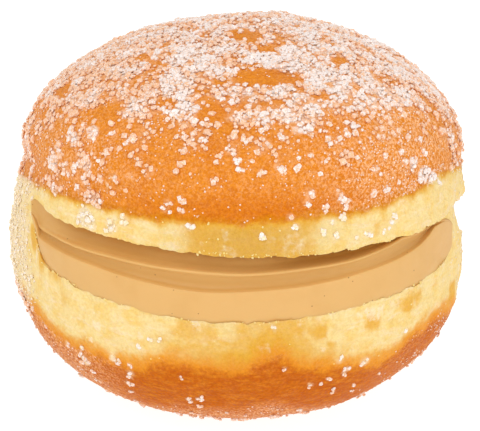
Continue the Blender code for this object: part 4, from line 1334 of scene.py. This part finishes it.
class BERLINER_OT_bun(bpy.types.Operator):
    """Make the bun: crust, pale ring and the slit with its torn lips"""

    bl_idname = "berliner.bun"
    bl_label = "Make Bun"

    def execute(self, context):
        bun = sizes_of(context.scene.berliner_bun)
        mouth = sizes_of(context.scene.berliner_mouth)
        noise.seed_set(context.scene.berliner_sugar.seed)
        form = turned_bun(bun)
        skin = BVHTree.FromBMesh(form)
        whole = new_object(form, "bun_whole")
        places = [SLIT_REACH * (2.0 * step / mouth.stations - 1.0) for step in range(mouth.stations + 1)]
        slit = lofted("slit", [slit_section(bun, mouth, place) for place in (-1.0, *places, 1.0)])
        cut = whole.modifiers.new("slit", "BOOLEAN")
        cut.operation = "DIFFERENCE"
        cut.solver = "MANIFOLD"
        cut.object = slit
        target = applied(whole, "bun_bread")
        bpy.data.objects.remove(slit)
        if len(target.data.polygons) < bun.steps:
            raise RuntimeError("the slit left no bun")
        marked(target, skin)
        finished(target, bread_finish(context.scene.berliner_colours), "bun", 42.0)
        return {"FINISHED"}


class BERLINER_OT_cream(bpy.types.Operator):
    """Make the caramel cream with its three bands"""

    bl_idname = "berliner.cream"
    bl_label = "Make Cream"

    def execute(self, context):
        bun = sizes_of(context.scene.berliner_bun)
        mouth = sizes_of(context.scene.berliner_mouth)
        cream = sizes_of(context.scene.berliner_cream)
        places = [CREAM_REACH * (2.0 * step / cream.stations - 1.0) for step in range(cream.stations + 1)]
        sections = [cream_section(bun, mouth, cream, place) for place in places]
        target = lofted("cream_filling", [[point for point, _ in section] for section in sections])
        known = [pair for section in sections for pair in section]
        tree = KDTree(len(known))
        for index, (point, _) in enumerate(known):
            tree.insert(point, index)
        tree.balance()
        # Each point takes the painted shade of the nearest key point
        hollow = [known[tree.find(vert.co)[1]][1] for vert in target.data.vertices]
        target.data.attributes.new("hollow", "FLOAT", "POINT").data.foreach_set("value", hollow)
        finished(target, cream_finish(context.scene.berliner_colours), "cream", 50.0)
        return {"FINISHED"}


class BERLINER_OT_sugar(bpy.types.Operator):
    """Scatter the coarse, medium and fine sugar and the loose crumbs"""

    bl_idname = "berliner.sugar"
    bl_label = "Scatter Sugar and Crumbs"

    def execute(self, context):
        if "bun_bread" not in bpy.data.objects:
            raise RuntimeError("make the bun first")
        scene = context.scene
        sugar = sizes_of(scene.berliner_sugar)
        colours = scene.berliner_colours
        noise.seed_set(sugar.seed)
        scatter = Scatter(turned_bun(sizes_of(scene.berliner_bun)), sizes_of(scene.berliner_mouth), sugar)
        draw = scatter.draw

        coarse = scatter.lone(sugar.coarse_size)
        scatter.graded(coarse, COARSE, sugar.coarse_size, sugar.coarse_count)
        medium = scatter.graded([], MEDIUM, sugar.medium_size, sugar.medium_count)
        fine = scatter.dusted(sugar.fine_size, sugar.fine_count)
        for name, grains, kind, shapes, rough in (("coarse_sugar", coarse, "coarse", 7, 0.16),
                                                  ("medium_sugar", medium, "medium", 6, 0.18),
                                                  ("fine_sugar", fine, "fine", 5, 0.25)):
            finish = sugar_finish(name + "_finish", colours, rough)
            made = made_real(name, grains, crystal_shapes(name, shapes, finish, draw, kind))
            finished(made, finish)

        crumbs = scatter.torn(sugar.crumb_size, sugar.crumb_count)
        finish = crumb_finish(colours)
        made = made_real("torn_crumbs", crumbs, crystal_shapes("torn_crumbs", 6, finish, draw, "medium"))
        finished(made, finish, sharpest=80.0)
        print("grains", len(coarse), len(medium), len(fine), "crumbs", len(crumbs))
        return {"FINISHED"}


class BERLINER_OT_stage(bpy.types.Operator):
    """Set the pale floor, the soft lamps and the camera"""

    bl_idname = "berliner.stage"
    bl_label = "Set Stage"

    def execute(self, context):
        stage = sizes_of(context.scene.berliner_stage)
        form = bmesh.new()
        bmesh.ops.create_grid(form, x_segments=2, y_segments=2, size=2.5)
        floor = new_object(form, "pale_floor")
        made = Finish("pale_floor_finish")
        tint = made.between(made.noise(0.4, 2.0), 0.3, 0.7)
        tint = made.mix(tint, stage.floor, tuple(0.99 * part for part in stage.floor))
        made.shine(base_color=tint, roughness=0.9, specular_ior_level=0.1,
                   emission_color=(1.0, 1.0, 1.0), emission_strength=stage.glow)
        floor.data.materials.append(made.material)

        world = bpy.data.worlds.new("even_light")
        world.use_nodes = True
        world.node_tree.nodes["Background"].inputs["Color"].default_value = (1.0, 1.0, 1.0, 1.0)
        world.node_tree.nodes["Background"].inputs["Strength"].default_value = stage.sky
        context.scene.world = world

        for name, place, size, power in (("key_lamp", (-0.28, -0.50, 0.85), 0.6, stage.key),
                                         ("fill_lamp", (0.55, -0.80, 0.35), 0.5, stage.fill)):
            lamp = bpy.data.lights.new(name, "AREA")
            lamp.shape = "DISK"
            lamp.size = size
            lamp.energy = power
            held = bpy.data.objects.new(name, lamp)
            held.location = place
            held.rotation_mode = "QUATERNION"
            held.rotation_quaternion = (Vector(place) - Vector((0.0, 0.0, 0.04))).to_track_quat("Z", "Y")
            context.scene.collection.objects.link(held)

        back = Vector((0.0, -math.cos(stage.elevation), math.sin(stage.elevation)))
        eye = Vector((0.0, 0.0, stage.target)) + back * stage.distance
        lens = bpy.data.cameras.new("camera")
        lens.lens = stage.lens
        lens.sensor_width = 36.0
        lens.clip_start = 0.01
        lens.clip_end = 50.0
        camera = bpy.data.objects.new("camera", lens)
        camera.location = eye
        camera.rotation_mode = "QUATERNION"
        aim = Vector((0.0, 0.0, stage.target - AIM_DROP))
        camera.rotation_quaternion = (eye - aim).to_track_quat("Z", "Y")
        context.scene.collection.objects.link(camera)
        context.scene.camera = camera
        context.scene.view_settings.view_transform = "Standard"
        context.scene.view_settings.look = "None"
        return {"FINISHED"}


class BERLINER_PT_panel(bpy.types.Panel):
    """Sizes, colours and steps of the berliner doughnut"""

    bl_idname = "BERLINER_PT_panel"
    bl_label = "Berliner Doughnut"
    bl_space_type = "VIEW_3D"
    bl_region_type = "UI"
    bl_category = "Berliner"

    def draw(self, context):
        for title, key in GROUPS:
            box = self.layout.box()
            box.label(text=title)
            group = getattr(context.scene, key)
            for name in group.__annotations__:
                box.prop(group, name)
        for operator in OPERATORS:
            self.layout.operator(operator.bl_idname)


GROUPS = (
    ("Bun", "berliner_bun"),
    ("Mouth", "berliner_mouth"),
    ("Cream", "berliner_cream"),
    ("Sugar", "berliner_sugar"),
    ("Colours", "berliner_colours"),
    ("Stage", "berliner_stage"),
)
GROUP_CLASSES = (
    BerlinerBunSizes, BerlinerMouthSizes, BerlinerCreamSizes,
    BerlinerSugarAmounts, BerlinerColours, BerlinerStageSettings,
)
OPERATORS = (BERLINER_OT_bun, BERLINER_OT_cream, BERLINER_OT_sugar, BERLINER_OT_stage)


def register():
    """Adds the settings, the operators and the panel."""
    for group in (*GROUP_CLASSES, *OPERATORS, BERLINER_PT_panel):
        bpy.utils.register_class(group)
    for (_, key), group in zip(GROUPS, GROUP_CLASSES):
        setattr(bpy.types.Scene, key, PointerProperty(type=group))


def unregister():
    """Takes them away again."""
    for _, key in GROUPS:
        delattr(bpy.types.Scene, key)
    for group in (BERLINER_PT_panel, *reversed(OPERATORS), *reversed(GROUP_CLASSES)):
        bpy.utils.unregister_class(group)


def main():
    """Makes every piece in order."""
    register()
    bpy.ops.berliner.bun()
    bpy.ops.berliner.cream()
    bpy.ops.berliner.sugar()
    bpy.ops.berliner.stage()


if __name__ == "__main__":
    main()
